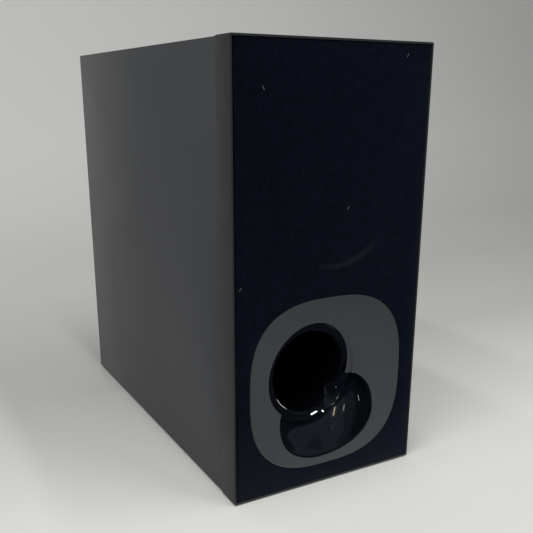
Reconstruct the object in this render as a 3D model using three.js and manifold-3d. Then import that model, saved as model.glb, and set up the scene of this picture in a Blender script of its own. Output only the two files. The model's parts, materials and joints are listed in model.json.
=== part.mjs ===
// Wireless bass cabinet (subwoofer) of a soundbar set, built as separate pieces.
// Millimetres. +X right, -Y front, +Z up. The origin is under the middle of the cabinet, on the floor.
import * as THREE from 'three';
import { mergeVertices } from 'three/addons/utils/BufferGeometryUtils.js';
import Module from 'manifold-3d';

const wasm = await Module();
wasm.setup();

// ---------------------------------------------------------------- driving dimensions
const WIDTH = 190;             // front frame, the widest piece
const HEIGHT = 382;            // floor to the top of the front frame
const DEPTH = 387;             // front face to the back edge of the cabinet walls
const GAP = 0.3;               // between pieces that touch
const FOOT = 2;                // how far the feet lift the cabinet
const PROUD = 1;               // front frame stands proud of the cabinet walls all round
const FRAME_DEPTH = 25;
const FRAME_WALL = 1.8;
const FRAME_FLANGE = 3;
const WALL = 12;               // cabinet board
const BAFFLE = 15;
const GRILLE_INSET = 2.4;      // frame's outer edge to the edge of the cloth
const CLOTH = 0.6;
const CLOTH_BACK = 0.4;        // cloth face behind the front plane

const FRONT = -DEPTH / 2;
const BACK = DEPTH / 2;
const FRAME_BACK = FRONT + FRAME_DEPTH;
const BOX_FRONT = FRAME_BACK + GAP;
const BOX = { x: WIDTH / 2 - PROUD, low: FOOT, high: HEIGHT - PROUD };
const ROOM = { x: BOX.x - WALL - GAP, low: BOX.low + WALL + GAP, high: BOX.high - WALL - GAP };

// port: a sculpted recess low on the front, with a round tube and a scooped dish beside it
const PORT = { x: -1, z: 96.8, halfWidth: 78.5, halfHeight: 78.2, power: 2.8 };
const TUBE = { x: -16.4, z: 107, mouth: 36.5, bore: 34.5, wall: 2.5, tailFrom: 76, end: 92 };
const RIM = { x: -17, z: 107.8, halfWidth: 45, halfHeight: 40.7, power: 2, tilt: 53.3 };
const DISH = { x: 4.3, z: 61.6, halfWidth: 51.4, halfHeight: 37, power: 2.3, tilt: 6.2 };
const DUCT = { sleeve: 13, wall: 2.5, end: 190, flareEnd: 212, flareRadius: 47 };

// bass driver
const DRIVER = { x: 0, z: 264, flange: 81, cutout: 71, screwCircle: 76.2 };
const SCREW = { shank: 1.7, hole: 2.05, tip: 2, head: 3.6, headHeight: 2 };
const RECESS = { halfWidth: 0.5, reach: 2, floor: 1 };     // cross cut into a screw's head

// amplifier in the rear panel
const REAR = { inset: 9, thickness: 12 };
const AMP = { halfWidth: 65, low: 40, high: 270, plate: 2, gasket: 1, border: 9 };
const REAR_FACE = BACK - REAR.inset;
const PLATE_IN = REAR_FACE + AMP.gasket + 2 * GAP;
const PLATE_OUT = PLATE_IN + AMP.plate;
const BOARD = { halfWidth: 50, low: 60, high: 250, thickness: 1.6, y: 160 };
const INLET = { x: 28, z: 72, halfWidth: 10.2, halfHeight: 6.7, depth: 16, pinPitch: 8.6 };
const BUTTON = { x: -28, z: 72, radius: 3.5, travel: 1.2 };
const LENS = { x: -28, z: 92, radius: 2 };

// ---------------------------------------------------------------- looks
const LOOKS = {
  wrap: ['#46484a', 0.55, 0],
  frame: ['#404245', 0.45, 0],
  cloth: ['#0b0e15', 0.95, 0],
  black: ['#16181a', 0.6, 0],
  bezel: ['#3a3c3e', 0.45, 0],
  gloss: ['#05070b', 0.08, 0],
  board: ['#8a6a4a', 0.85, 0],
  card: ['#2c2a28', 0.9, 0],
  paper: ['#1c1c1d', 0.9, 0],
  rubber: ['#121314', 0.8, 0],
  steel: ['#8e9092', 0.4, 0.9],
  ferrite: ['#2d2e30', 0.7, 0.2],
  copper: ['#a8552a', 0.4, 0.9],
  spider: ['#a98438', 0.9, 0],
  pcb: ['#1d5134', 0.5, 0],
  aluminium: ['#a7a9ab', 0.4, 0.9],
  screw: ['#26282a', 0.4, 0.8],
  lens: ['#d8e4ee', 0.1, 0],
  wadding: ['#d9d9d4', 1, 0],
};

const model = new THREE.Group();

function addPart(name, geometry, look, position = [0, 0, 0]) {
  const [color, roughness, metalness] = LOOKS[look];
  const mesh = new THREE.Mesh(geometry, new THREE.MeshStandardMaterial({ color, roughness, metalness }));
  mesh.name = name;
  mesh.position.set(...position);
  model.add(mesh);
}

// ---------------------------------------------------------------- solids
function welded(geometry) {
  const bare = geometry.clone();
  bare.deleteAttribute('normal');
  bare.deleteAttribute('uv');
  const merged = mergeVertices(bare, 1e-4);
  const index = merged.index.array;
  const kept = [];
  for (let i = 0; i < index.length; i += 3) {
    const [a, b, c] = [index[i], index[i + 1], index[i + 2]];
    if (a !== b && b !== c && c !== a) kept.push(a, b, c);
  }
  merged.setIndex(kept);
  return merged;
}

function volumeOf(geometry) {
  const [a, b, c] = [new THREE.Vector3(), new THREE.Vector3(), new THREE.Vector3()];
  const place = geometry.attributes.position;
  const index = geometry.index.array;
  let sum = 0;
  for (let i = 0; i < index.length; i += 3) {
    a.fromBufferAttribute(place, index[i]);
    b.fromBufferAttribute(place, index[i + 1]);
    c.fromBufferAttribute(place, index[i + 2]);
    sum += a.dot(b.cross(c)) / 6;
  }
  return sum;
}

// a welded copy whose faces point outwards
function outward(geometry) {
  const shell = welded(geometry);
  if (volumeOf(shell) < 0) {
    const flipped = Array.from(shell.index.array);
    for (let i = 0; i < flipped.length; i += 3) {
      [flipped[i + 1], flipped[i + 2]] = [flipped[i + 2], flipped[i + 1]];
    }
    shell.setIndex(flipped);
  }
  return shell;
}

function toManifold(geometry) {
  const shell = outward(geometry);
  return new wasm.Manifold(new wasm.Mesh({
    numProp: 3,
    vertProperties: Float32Array.from(shell.attributes.position.array),
    triVerts: Uint32Array.from(shell.index.array),
  }));
}

function toGeometry(solid) {
  const mesh = solid.getMesh();
  const geometry = new THREE.BufferGeometry();
  geometry.setAttribute('position', new THREE.BufferAttribute(Float32Array.from(mesh.vertProperties), 3));
  geometry.setIndex(Array.from(mesh.triVerts));
  return geometry;
}

function joined(...pieces) {
  return toGeometry(pieces.map(toManifold).reduce((all, piece) => all.add(piece)));
}

function cut(base, ...cutters) {
  const solid = cutters.map(toManifold).reduce((left, cutter) => left.subtract(cutter), toManifold(base));
  return toGeometry(solid);
}

function block([x0, x1], [y0, y1], [z0, z1]) {
  return new THREE.BoxGeometry(x1 - x0, y1 - y0, z1 - z0)
    .translate((x0 + x1) / 2, (y0 + y1) / 2, (z0 + z1) / 2);
}

// an outline drawn in X and Z, as thick as y0 to y1
function plate(shape, y0, y1, curveSegments = 12) {
  return new THREE.ExtrudeGeometry(shape, { depth: y1 - y0, bevelEnabled: false, curveSegments })
    .rotateX(Math.PI / 2)
    .translate(0, y1, 0);
}

function rectangle(x0, x1, z0, z1, radius = 0) {
  const shape = new THREE.Shape();
  if (radius === 0) {
    shape.moveTo(x0, z0).lineTo(x1, z0).lineTo(x1, z1).lineTo(x0, z1).closePath();
    return shape;
  }
  const quarter = Math.PI / 2;
  shape.absarc(x1 - radius, z0 + radius, radius, -quarter, 0);
  shape.absarc(x1 - radius, z1 - radius, radius, 0, quarter);
  shape.absarc(x0 + radius, z1 - radius, radius, quarter, 2 * quarter);
  shape.absarc(x0 + radius, z0 + radius, radius, 2 * quarter, 3 * quarter);
  shape.closePath();
  return shape;
}

function circle(x, z, radius) {
  return new THREE.Shape().absarc(x, z, radius, 0, 2 * Math.PI);
}

// the port's outline, grown or shrunk by an offset
function portOutline(offset, steps = 56) {
  const points = [];
  for (let i = 0; i < steps; i++) {
    const angle = (2 * Math.PI * i) / steps;
    const [c, s] = [Math.cos(angle), Math.sin(angle)];
    const reach = (value) => Math.sign(value) * Math.abs(value) ** (2 / PORT.power);
    points.push(new THREE.Vector2(
      PORT.x + (PORT.halfWidth + offset) * reach(c),
      PORT.z + (PORT.halfHeight + offset) * reach(s),
    ));
  }
  return new THREE.Shape(points);
}

function rod(x, z, radius, y0, y1, segments = 20) {
  return new THREE.CylinderGeometry(radius, radius, y1 - y0, segments).translate(x, (y0 + y1) / 2, z);
}

// a profile of [radius, y] points turned about an axis along Y through x, z
function turned(profile, x, z, segments = 36) {
  const points = profile.map(([radius, y]) => new THREE.Vector2(radius, y));
  const first = points[0];
  const last = points[points.length - 1];
  if (first.x > 0 || last.x > 0) points.push(first.clone());
  return outward(new THREE.LatheGeometry(points, segments)).translate(x, 0, z);
}

const SHARPEST_BEND = 0.6;     // keeps the mitre of an offset line from running away at a sharp corner

// the same line moved sideways by a thickness, to give a thin wall its other face
function offsetLine(line, thickness) {
  return line.map((point, i) => {
    const before = line[Math.max(i - 1, 0)];
    const after = line[Math.min(i + 1, line.length - 1)];
    const first = unit(point[0] - before[0], point[1] - before[1]);
    const second = unit(after[0] - point[0], after[1] - point[1]);
    const along = unit(first[0] + second[0], first[1] + second[1]);
    const bend = Math.max(
      first[0] * along[0] + first[1] * along[1],
      second[0] * along[0] + second[1] * along[1],
    );
    const reach = thickness / Math.max(bend, SHARPEST_BEND);
    const onAxis = point[0] === 0;
    return [onAxis ? 0 : point[0] - along[1] * reach, point[1] + along[0] * reach];
  });
}

function unit(x, y) {
  const length = Math.hypot(x, y) || 1;
  return [x / length, y / length];
}

function thinWall(line, thickness) {
  return [...line, ...offsetLine(line, thickness).reverse()];
}

// ---------------------------------------------------------------- port surface
// Angles run round the tube's axis: 0 points to +X and 90 to +Z. Depths are behind the front plane.
const BASIN = { depth: 12, lean: 0.08, power: 3.2 };
const HOLLOW = { depth: 1.5, rise: 0.15, from: 35, lean: 0.05, edge: 0.1 };
const LIP = { depth: 7.2, lean: 1.8 };
const SPIRAL = { centre: -42, spread: 30, depth: 15, width: 15 };    // where the tube opens into the dish
const ROLL = { width: 5, drop: 1.5, power: 3.5, openPower: 2 };
const RIDGE = 0.06;            // how fast the lip falls away outside its crest
const SOFTNESS = 1.6;          // of the crease between the lip and the basin
const EDGE_FADE = 0.02;        // share of the outline over which the bezel rises to the front plane

// 1 where the tube opens out into the dish, falling smoothly to 0 round both sides
function spiralShare(degrees) {
  const away = (((degrees - SPIRAL.centre + 180) % 360) + 360) % 360 - 180;
  return Math.exp(-((away / SPIRAL.spread) ** 2));
}

// 0 in the middle of a tilted oval, 1 on its edge
function ovalShare(oval, x, z) {
  const tilt = THREE.MathUtils.degToRad(oval.tilt);
  const [c, s] = [Math.cos(tilt), Math.sin(tilt)];
  const [u, v] = [x - oval.x, z - oval.z];
  const wide = Math.abs((u * c + v * s) / oval.halfWidth) ** oval.power;
  const high = Math.abs((v * c - u * s) / oval.halfHeight) ** oval.power;
  return (wide + high) ** (1 / oval.power);
}

function smoothMin(a, b, softness) {
  const h = Math.min(Math.max(0.5 + (0.5 * (b - a)) / softness, 0), 1);
  return b * (1 - h) + a * h - softness * h * (1 - h);
}

function smoothStep(value) {
  const t = Math.min(Math.max(value, 0), 1);
  return t * t * (3 - 2 * t);
}

// 0 in the middle of the port, 1 on its outline
function outlineShare(x, z) {
  return ovalShare({ ...PORT, tilt: 0 }, x, z);
}

function rollWidth(degrees) {
  return ROLL.width + SPIRAL.width * spiralShare(degrees);
}

// how far the sculpted face of the grey bezel, or of the black piece, lies behind the front plane
function portDepth(x, z, black = false) {
  const radius = Math.hypot(x - TUBE.x, z - TUBE.z);
  const angle = Math.atan2(z - TUBE.z, x - TUBE.x);
  const degrees = THREE.MathUtils.radToDeg(angle);
  const share = outlineShare(x, z);
  let basin = (1 - share ** BASIN.power) * (BASIN.depth + BASIN.lean * x);
  let lip = LIP.depth + LIP.lean * Math.cos(angle);
  let roll = 0;
  const width = black ? rollWidth(degrees) : ROLL.width;
  if (black) {
    lip += SPIRAL.depth * spiralShare(degrees);
    const within = Math.max(1 - ovalShare(DISH, x, z), 0) / HOLLOW.edge;
    const hollow = HOLLOW.depth + HOLLOW.rise * Math.max(z - HOLLOW.from, 0) + HOLLOW.lean * Math.max(x, 0);
    basin += hollow * (1 - Math.exp(-(within ** 2)));
    const into = Math.min(Math.max((TUBE.mouth + width - radius) / width, 0), 1);
    const power = ROLL.power + (ROLL.openPower - ROLL.power) * spiralShare(degrees);
    roll = ROLL.drop * width * (1 - Math.max(1 - into ** power, 0) ** (1 / power));
  }
  const ridge = lip + RIDGE * Math.max(radius - TUBE.mouth - width, 0) ** 2;
  return smoothMin(basin, ridge, SOFTNESS) * smoothStep((1 - share) / EDGE_FADE) + roll;
}

// distance from the tube's axis to the port's outline
function outlineRadius(angle) {
  const [c, s] = [Math.cos(angle), Math.sin(angle)];
  let [near, far] = [0, 2 * PORT.halfWidth];
  for (let i = 0; i < 40; i++) {
    const middle = (near + far) / 2;
    if (outlineShare(TUBE.x + middle * c, TUBE.z + middle * s) < 1) near = middle;
    else far = middle;
  }
  return near;
}

// angles round the tube: closer together at the sharp corner between tube and dish
function portAngles() {
  const angles = [];
  for (let degrees = -12; degrees < 336; degrees += 6) angles.push(degrees);
  for (let degrees = -24; degrees < -12; degrees += 1) angles.push(degrees);
  return angles.map(THREE.MathUtils.degToRad);
}

// a closed ring whose section, [radius, depth] points, changes with the angle
function sweptRing(sectionAt) {
  const sections = portAngles().map((angle) => ({ angle, points: sectionAt(angle) }));
  const size = sections[0].points.length;
  const place = [];
  for (const { angle, points } of sections) {
    for (const [radius, depth] of points) {
      place.push(TUBE.x + radius * Math.cos(angle), FRONT + depth, TUBE.z + radius * Math.sin(angle));
    }
  }
  const index = [];
  for (let i = 0; i < sections.length; i++) {
    for (let j = 0; j < size; j++) {
      const next = (i + 1) % sections.length;
      const [a, b] = [i * size + j, i * size + ((j + 1) % size)];
      const [c, d] = [next * size + ((j + 1) % size), next * size + j];
      index.push(a, b, c, a, c, d);
    }
  }
  const geometry = new THREE.BufferGeometry();
  geometry.setAttribute('position', new THREE.Float32BufferAttribute(place, 3));
  geometry.setIndex(index);
  return outward(geometry);
}

function depthAt(angle, radius, black = false) {
  return portDepth(TUBE.x + radius * Math.cos(angle), TUBE.z + radius * Math.sin(angle), black);
}

// where the grey bezel ends and the black piece begins: round the rim, and out round the dish
function partingRadius(angle) {
  const [c, s] = [Math.cos(angle), Math.sin(angle)];
  const step = 0.05;
  let radius = 1.5 * PORT.halfWidth;
  while (radius > 0) {
    const [x, z] = [TUBE.x + radius * c, TUBE.z + radius * s];
    if (ovalShare(RIM, x, z) < 1 || ovalShare(DISH, x, z) < 1) return radius;
    radius -= step;
  }
  return 0;
}

// ---------------------------------------------------------------- cabinet
const PORT_LEDGE = 14.5;       // baffle left inside the port's outline, for the bezel's bosses to rest on

function screwHoles(places, y0, y1) {
  return places.map(([x, z]) => rod(x, z, SCREW.hole, y0, y1, 12));
}

function cabinetPanels() {
  const { x, low, high } = BOX;
  const mitre = GAP * Math.SQRT2;
  const side = (sign) => new THREE.Shape([
    new THREE.Vector2(sign * x, low + mitre),
    new THREE.Vector2(sign * (x - WALL), low + WALL + mitre),
    new THREE.Vector2(sign * (x - WALL), high - WALL - mitre),
    new THREE.Vector2(sign * x, high - mitre),
  ]);
  const level = (outer, inner) => new THREE.Shape([
    new THREE.Vector2(-x, outer),
    new THREE.Vector2(x, outer),
    new THREE.Vector2(x - WALL, inner),
    new THREE.Vector2(-x + WALL, inner),
  ]);
  addPart('left_side_panel', outward(plate(side(-1), BOX_FRONT, BACK)), 'wrap');
  addPart('right_side_panel', outward(plate(side(1), BOX_FRONT, BACK)), 'wrap');
  addPart('top_panel', outward(plate(level(high, high - WALL), BOX_FRONT, BACK)), 'wrap');
  addPart('bottom_panel', outward(plate(level(low, low + WALL), BOX_FRONT, BACK)), 'wrap');
}

function rearPanel() {
  const shape = rectangle(-ROOM.x, ROOM.x, ROOM.low, ROOM.high);
  const { halfWidth, low, high, border } = AMP;
  shape.holes.push(rectangle(-halfWidth + border, halfWidth - border, low + border, high - border, 4));
  const panel = plate(shape, REAR_FACE - REAR.thickness, REAR_FACE, 4);
  const holes = screwHoles(ampScrewPlaces(), REAR_FACE - REAR.thickness - 1, REAR_FACE + 1);
  addPart('rear_panel', cut(panel, ...holes), 'board');
}

function frontBaffle() {
  const shape = rectangle(-ROOM.x, ROOM.x, ROOM.low, ROOM.high);
  shape.holes.push(circle(DRIVER.x, DRIVER.z, DRIVER.cutout), portOutline(-PORT_LEDGE, 40));
  const baffle = plate(shape, BOX_FRONT, BOX_FRONT + BAFFLE, 24);
  const places = [...driverScrewPlaces(), ...portScrewPlaces()];
  const holes = screwHoles(places, BOX_FRONT - 1, BOX_FRONT + BAFFLE + 1);
  addPart('front_baffle', cut(baffle, ...holes), 'board');
}

function frontFrame() {
  const [x, low, high] = [WIDTH / 2, PROUD, HEIGHT];
  const [bevel, corner] = [0.6, 0.8];
  const outline = rectangle(-x + bevel, x - bevel, low + bevel, high - bevel, corner);
  const edge = new THREE.ExtrudeGeometry(outline, {
    depth: FRAME_DEPTH - bevel, bevelThickness: bevel, bevelSize: bevel, bevelSegments: 2, curveSegments: 2,
  }).rotateX(Math.PI / 2);
  edge.computeBoundingBox();
  edge.translate(0, FRONT - edge.boundingBox.min.y, 0);
  const pocket = block(
    [-x + FRAME_WALL, x - FRAME_WALL],
    [FRONT - 5, FRAME_BACK - FRAME_FLANGE],
    [low + FRAME_WALL, high - FRAME_WALL],
  );
  const opening = block(
    [-ROOM.x - 1, ROOM.x + 1],
    [FRONT, BACK],
    [ROOM.low - 1, ROOM.high + 1],
  );
  const trim = block([-x - 5, x + 5], [FRAME_BACK, BACK], [-5, high + 5]);
  addPart('front_frame', cut(edge, pocket, opening, trim), 'frame');
}

const PAD = { radius: 8, chamfer: 0.6, x: 72, front: -148, back: 168 };

function feet() {
  const height = FOOT - GAP;
  const { radius, chamfer, x, front, back } = PAD;
  const profile = [[0, 0], [radius - chamfer, 0], [radius, chamfer], [radius, height], [0, height]];
  [[-x, front], [x, front], [-x, back], [x, back]].forEach(([footX, footY], i) => {
    const points = profile.map(([out, up]) => new THREE.Vector2(out, up));
    const pad = outward(new THREE.LatheGeometry(points, 20)).rotateX(Math.PI / 2);
    addPart(`foot_${i + 1}`, pad, 'rubber', [footX, footY, 0]);
  });
}

// ---------------------------------------------------------------- grille
const CLOTH_EDGE = { x: WIDTH / 2 - GRILLE_INSET, low: PROUD + GRILLE_INSET, high: HEIGHT - GRILLE_INSET };
const CLOTH_FACE = FRONT + CLOTH_BACK;
const CLOTH_CORNER = 3;
const GRILLE = { thickness: 3, rib: 5, border: 8, columns: 3, rows: 4, ribsFrom: 190 };
const PEG = { x: 87.4, radius: 2.6, heights: [30, 200, 352] };

function grilleCloth() {
  const { x, low, high } = CLOTH_EDGE;
  const back = CLOTH_FACE + CLOTH + GAP + GRILLE.thickness;
  const shell = plate(rectangle(-x, x, low, high, CLOTH_CORNER), CLOTH_FACE, back, 3);
  const inside = plate(
    rectangle(-x + CLOTH, x - CLOTH, low + CLOTH, high - CLOTH, CLOTH_CORNER - CLOTH),
    CLOTH_FACE + CLOTH, back + 1, 3,
  );
  const hole = plate(portOutline(GAP), CLOTH_FACE - 1, back);
  addPart('grille_cloth', cut(shell, inside, hole), 'cloth');
}

function grilleFrame() {
  const margin = CLOTH + GAP;
  const { x, low, high } = CLOTH_EDGE;
  const front = CLOTH_FACE + CLOTH + GAP;
  const back = front + GRILLE.thickness;
  const outer = plate(
    rectangle(-x + margin, x - margin, low + margin, high - margin, CLOTH_CORNER - margin),
    front, back, 3,
  );
  const hole = plate(portOutline(GAP), front - 1, back + 1);
  const inner = x - margin - GRILLE.border;
  const ribsTo = high - margin - GRILLE.border;
  const [columnPitch, rowPitch] = [
    (2 * inner + GRILLE.rib) / GRILLE.columns,
    (ribsTo - GRILLE.ribsFrom + GRILLE.rib) / GRILLE.rows,
  ];
  const windows = [];
  for (let row = 0; row < GRILLE.rows; row++) {
    for (let column = 0; column < GRILLE.columns; column++) {
      const [left, bottom] = [-inner + column * columnPitch, GRILLE.ribsFrom + row * rowPitch];
      const [right, top] = [left + columnPitch - GRILLE.rib, bottom + rowPitch - GRILLE.rib];
      const window = rectangle(left, right, bottom, top, 3);
      windows.push(plate(window, front - 1, back + 1, 2));
    }
  }
  const pegs = [];
  for (const pegX of [-PEG.x, PEG.x]) {
    for (const pegZ of PEG.heights) {
      pegs.push(rod(pegX, pegZ, PEG.radius, back - 1, FRAME_BACK - FRAME_FLANGE - GAP, 12));
    }
  }
  addPart('grille_frame', joined(cut(outer, hole, ...windows), ...pegs), 'black');
}

// ---------------------------------------------------------------- port
const BEZEL = { rim: 0.2, wall: 2.5, edge: 1.2, roll: 0.4, boss: 4, bossHole: 12, bossReach: 57 };
const FACE_SHARES = [0.08, 0.22, 0.4, 0.6, 0.8, 0.94];     // steps from the parting line out to the outline
const BACK_SHARES = [0.84, 0.5, 0.2];

function portScrewPlaces() {
  const reach = BEZEL.bossReach;
  const corners = [[-1, -1], [1, -1], [-1, 1], [1, 1]];
  return corners.map(([u, v]) => [PORT.x + u * reach, PORT.z + v * reach]);
}

function bezelSection(angle) {
  const inner = partingRadius(angle);
  const outer = outlineRadius(angle);
  const at = (share) => inner + (outer - inner) * share;
  const face = FACE_SHARES.map((share) => [at(share), depthAt(angle, at(share))]);
  const behind = BACK_SHARES.map((share) => [at(share), depthAt(angle, at(share)) + BEZEL.wall]);
  const foot = FRAME_DEPTH;
  const lip = depthAt(angle, inner);
  return [
    [inner, lip + BEZEL.roll], ...face, [outer, BEZEL.rim],
    [outer, foot], [outer - BEZEL.wall, foot], ...behind, [inner, lip + BEZEL.edge],
  ];
}

// the deepest point of the sculpted face over a boss, so that the boss stays behind the face
function depthOverBoss(x, z) {
  const round = [0, 60, 120, 180, 240, 300].map((degrees) => {
    const angle = THREE.MathUtils.degToRad(degrees);
    return portDepth(x + BEZEL.boss * Math.cos(angle), z + BEZEL.boss * Math.sin(angle));
  });
  return Math.max(...round);
}

function portBezel() {
  const ring = sweptRing(bezelSection);
  const bosses = portScrewPlaces().map(([x, z]) => rod(
    x, z, BEZEL.boss, FRONT + depthOverBoss(x, z) + BEZEL.wall / 4, FRAME_BACK, 16,
  ));
  const holes = screwHoles(portScrewPlaces(), FRAME_BACK - BEZEL.bossHole, FRAME_BACK + 1);
  addPart('port_bezel', cut(joined(ring, ...bosses), ...holes), 'bezel');
}

// the black piece: tucked under the bezel's edge, across the dish, over the lip and down the tube
const FLARE = { tuck: 1.2, tuckDepth: 2.6, edge: 0.2, edgeDepth: 1.7, sunk: 0.7, land: 0.8 };
const DISH_SHARES = [0.15, 0.4, 0.65, 0.88];               // steps from the parting line in to the lip
const ROLL_TILTS = [0.2, 0.6, 1.05, Math.PI / 2];          // steps over the lip, in radians

function flareSection(angle) {
  const parting = partingRadius(angle);
  const rollStart = Math.min(TUBE.mouth + rollWidth(THREE.MathUtils.radToDeg(angle)), parting - FLARE.land);
  const on = (radius, below) => [radius, depthAt(angle, radius, true) + below];
  const line = [on(parting + FLARE.tuck, FLARE.tuckDepth), on(parting - FLARE.edge, FLARE.edgeDepth)];
  for (const share of DISH_SHARES) {
    line.push(on(parting + (rollStart - parting) * share, FLARE.sunk));
  }
  for (const tilt of ROLL_TILTS) {
    line.push(on(TUBE.mouth + (rollStart - TUBE.mouth) * (1 - Math.sin(tilt)), FLARE.sunk));
  }
  line.push([TUBE.bore, TUBE.tailFrom], [TUBE.bore, TUBE.end]);
  return [...line, ...offsetLine(line, -TUBE.wall).reverse()];
}

function portFlare() {
  addPart('port_flare', sweptRing(flareSection), 'gloss');
}

// a plain tube slipped over the tail of the flare, with a trumpet pushed into its inner end
function portDuct() {
  const inner = TUBE.bore + TUBE.wall + GAP;
  const [from, end] = [TUBE.end - DUCT.sleeve, DUCT.end];
  const wall = ringProfile(inner, inner + DUCT.wall, FRONT + from, FRONT + end);
  addPart('port_duct', turned(wall, TUBE.x, TUBE.z), 'card');

  const spigot = TUBE.bore + TUBE.wall;
  const { flareRadius, flareEnd, sleeve } = DUCT;
  const along = [end - sleeve, end + GAP, (end + flareEnd) / 2, flareEnd];
  const [plug, stop, halfway, mouth] = along.map((depth) => FRONT + depth);
  const trumpet = [
    [TUBE.bore, plug], [spigot, plug], [spigot, stop], [inner + DUCT.wall, stop],
    [inner + DUCT.wall + 1.5, halfway], [flareRadius + 2, mouth - 1], [flareRadius + 1.5, mouth],
    [flareRadius, mouth], [TUBE.bore + 3.5, halfway], [TUBE.bore + 0.7, stop],
  ];
  addPart('duct_end_flare', turned(trumpet, TUBE.x, TUBE.z), 'card');
}

// ---------------------------------------------------------------- driver
const BASKET = { front: FRAME_BACK - 1.6, wall: 1.5, shelf: FRONT + 67.5, seat: FRONT + 87.5, windows: 6 };
const SURROUND = { outer: 71.5, inner: 50.5, roll: 60.2, rollRadius: 6, rubber: 0.8, gasketInner: 67.6 };
const SPIDER = { outer: 46, corrugated: 38.5, pitch: 3.2, inner: 16.7, wave: 1.3, cloth: 0.6 };
const CONE = { edge: 53.6, neck: 17, front: FRONT + 23.8, back: FRONT + 53, paper: 1 };
const CAP = { radius: 23, front: 13.5, rise: 7.4, paper: 0.8 };      // front: ahead of the cone's neck
const COIL = {
  formerInner: 15.8, formerOuter: 16.4, formerEnd: FRONT + 103, outer: 17.6, from: FRONT + 86, to: FRONT + 99,
};

function driverScrewPlaces() {
  return [45, 135, 225, 315].map((degrees) => {
    const angle = THREE.MathUtils.degToRad(degrees);
    const reach = DRIVER.screwCircle;
    return [DRIVER.x + reach * Math.cos(angle), DRIVER.z + reach * Math.sin(angle)];
  });
}

function driverRound(name, profile, look, segments = 36) {
  addPart(name, turned(profile, DRIVER.x, DRIVER.z, segments), look);
}

function driverBasket() {
  const { front, wall, shelf, seat } = BASKET;
  const line = [
    [DRIVER.flange, front], [68.8, front], [65, front + 13], [48, shelf], [40, shelf], [38, seat], [19, seat],
  ];
  const bowl = turned(thinWall(line, -wall), DRIVER.x, DRIVER.z);
  const windows = [];
  for (let i = 0; i < BASKET.windows; i++) {
    windows.push(block([50, 63], [front + 15, shelf - 6], [-14, 14])
      .rotateY((2 * Math.PI * (i + 0.5)) / BASKET.windows)
      .translate(DRIVER.x, 0, DRIVER.z));
  }
  const holes = screwHoles(driverScrewPlaces(), front - 2, FRAME_BACK + 2);
  addPart('driver_basket', cut(bowl, ...windows, ...holes), 'steel');
}

function driverSoftParts() {
  const { outer, inner, roll, rollRadius, rubber, gasketInner } = SURROUND;
  const face = BASKET.front - GAP;
  const halfRoll = [];
  for (let degrees = 0; degrees <= 180; degrees += 30) {
    const angle = THREE.MathUtils.degToRad(degrees);
    halfRoll.push([roll + rollRadius * Math.cos(angle), face - rollRadius * Math.sin(angle)]);
  }
  driverRound('driver_surround', thinWall([[outer, face], ...halfRoll, [inner, face]], rubber), 'rubber', 40);
  const gasketBack = face - rubber - GAP;
  driverRound('driver_gasket', ringProfile(gasketInner, outer, gasketBack - 1.6, gasketBack), 'rubber');

  const spiderFace = BASKET.shelf - GAP - SPIDER.cloth;
  const middle = spiderFace - SPIDER.wave;
  const line = [[SPIDER.outer, spiderFace], [SPIDER.corrugated + 2, spiderFace]];
  for (let step = 0; step <= 6; step++) {
    const side = step % 2 === 0 ? -1 : 1;
    line.push([SPIDER.corrugated - SPIDER.pitch * step, middle + side * SPIDER.wave]);
  }
  line.push([SPIDER.inner, middle]);
  driverRound('spider', thinWall(line, -SPIDER.cloth), 'spider', 32);
}

function ringProfile(inner, outer, y0, y1) {
  return [[inner, y0], [outer, y0], [outer, y1], [inner, y1]];
}

function driverMovingParts() {
  const { edge, neck, front, back } = CONE;
  const line = [[edge, front], [50, front + 0.4], [34, front + 14], [neck, back]];
  driverRound('driver_cone', thinWall(line, -CONE.paper), 'paper');
  const cap = [];
  for (let step = 0; step <= 4; step++) {
    const share = step / 4;
    cap.push([CAP.radius * share, back - CAP.front + CAP.rise * share * share]);
  }
  driverRound('dust_cap', thinWall(cap, CAP.paper), 'paper');
  const { formerInner, formerOuter, formerEnd, outer, from, to } = COIL;
  const former = ringProfile(formerInner, formerOuter, back - CONE.paper, formerEnd);
  driverRound('voice_coil_former', former, 'paper', 28);
  driverRound('voice_coil', ringProfile(formerOuter + GAP, outer, from, to), 'copper', 28);
}

const MOTOR = { pole: 15.2, gapOuter: 18.3, plateRadius: 44, plateThickness: 6 };
const MAGNET = { inner: 23, outer: 50, length: 18 };

function driverMotor() {
  const { pole, gapOuter, plateRadius, plateThickness } = MOTOR;
  const plateFront = BASKET.seat + BASKET.wall + GAP;
  const magnetFront = plateFront + plateThickness + GAP;
  const magnetBack = magnetFront + MAGNET.length;
  const yokeFront = magnetBack + GAP;
  const yokeBack = yokeFront + plateThickness;
  const plateBack = plateFront + plateThickness;
  driverRound('top_plate', ringProfile(gapOuter, plateRadius, plateFront, plateBack), 'steel');
  driverRound('magnet', ringProfile(MAGNET.inner, MAGNET.outer, magnetFront, magnetBack), 'ferrite');
  const yoke = [
    [0, plateFront], [pole, plateFront], [pole, yokeFront], [plateRadius + 2, yokeFront],
    [plateRadius + 2, yokeBack], [0, yokeBack],
  ];
  driverRound('yoke', yoke, 'steel');
}

function driverTerminal() {
  const y = BASKET.shelf;
  addPart('driver_terminal', block([55.5, 62.5], [y - 6, y + 2], [DRIVER.z - 7, DRIVER.z + 7]), 'black');
}

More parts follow.
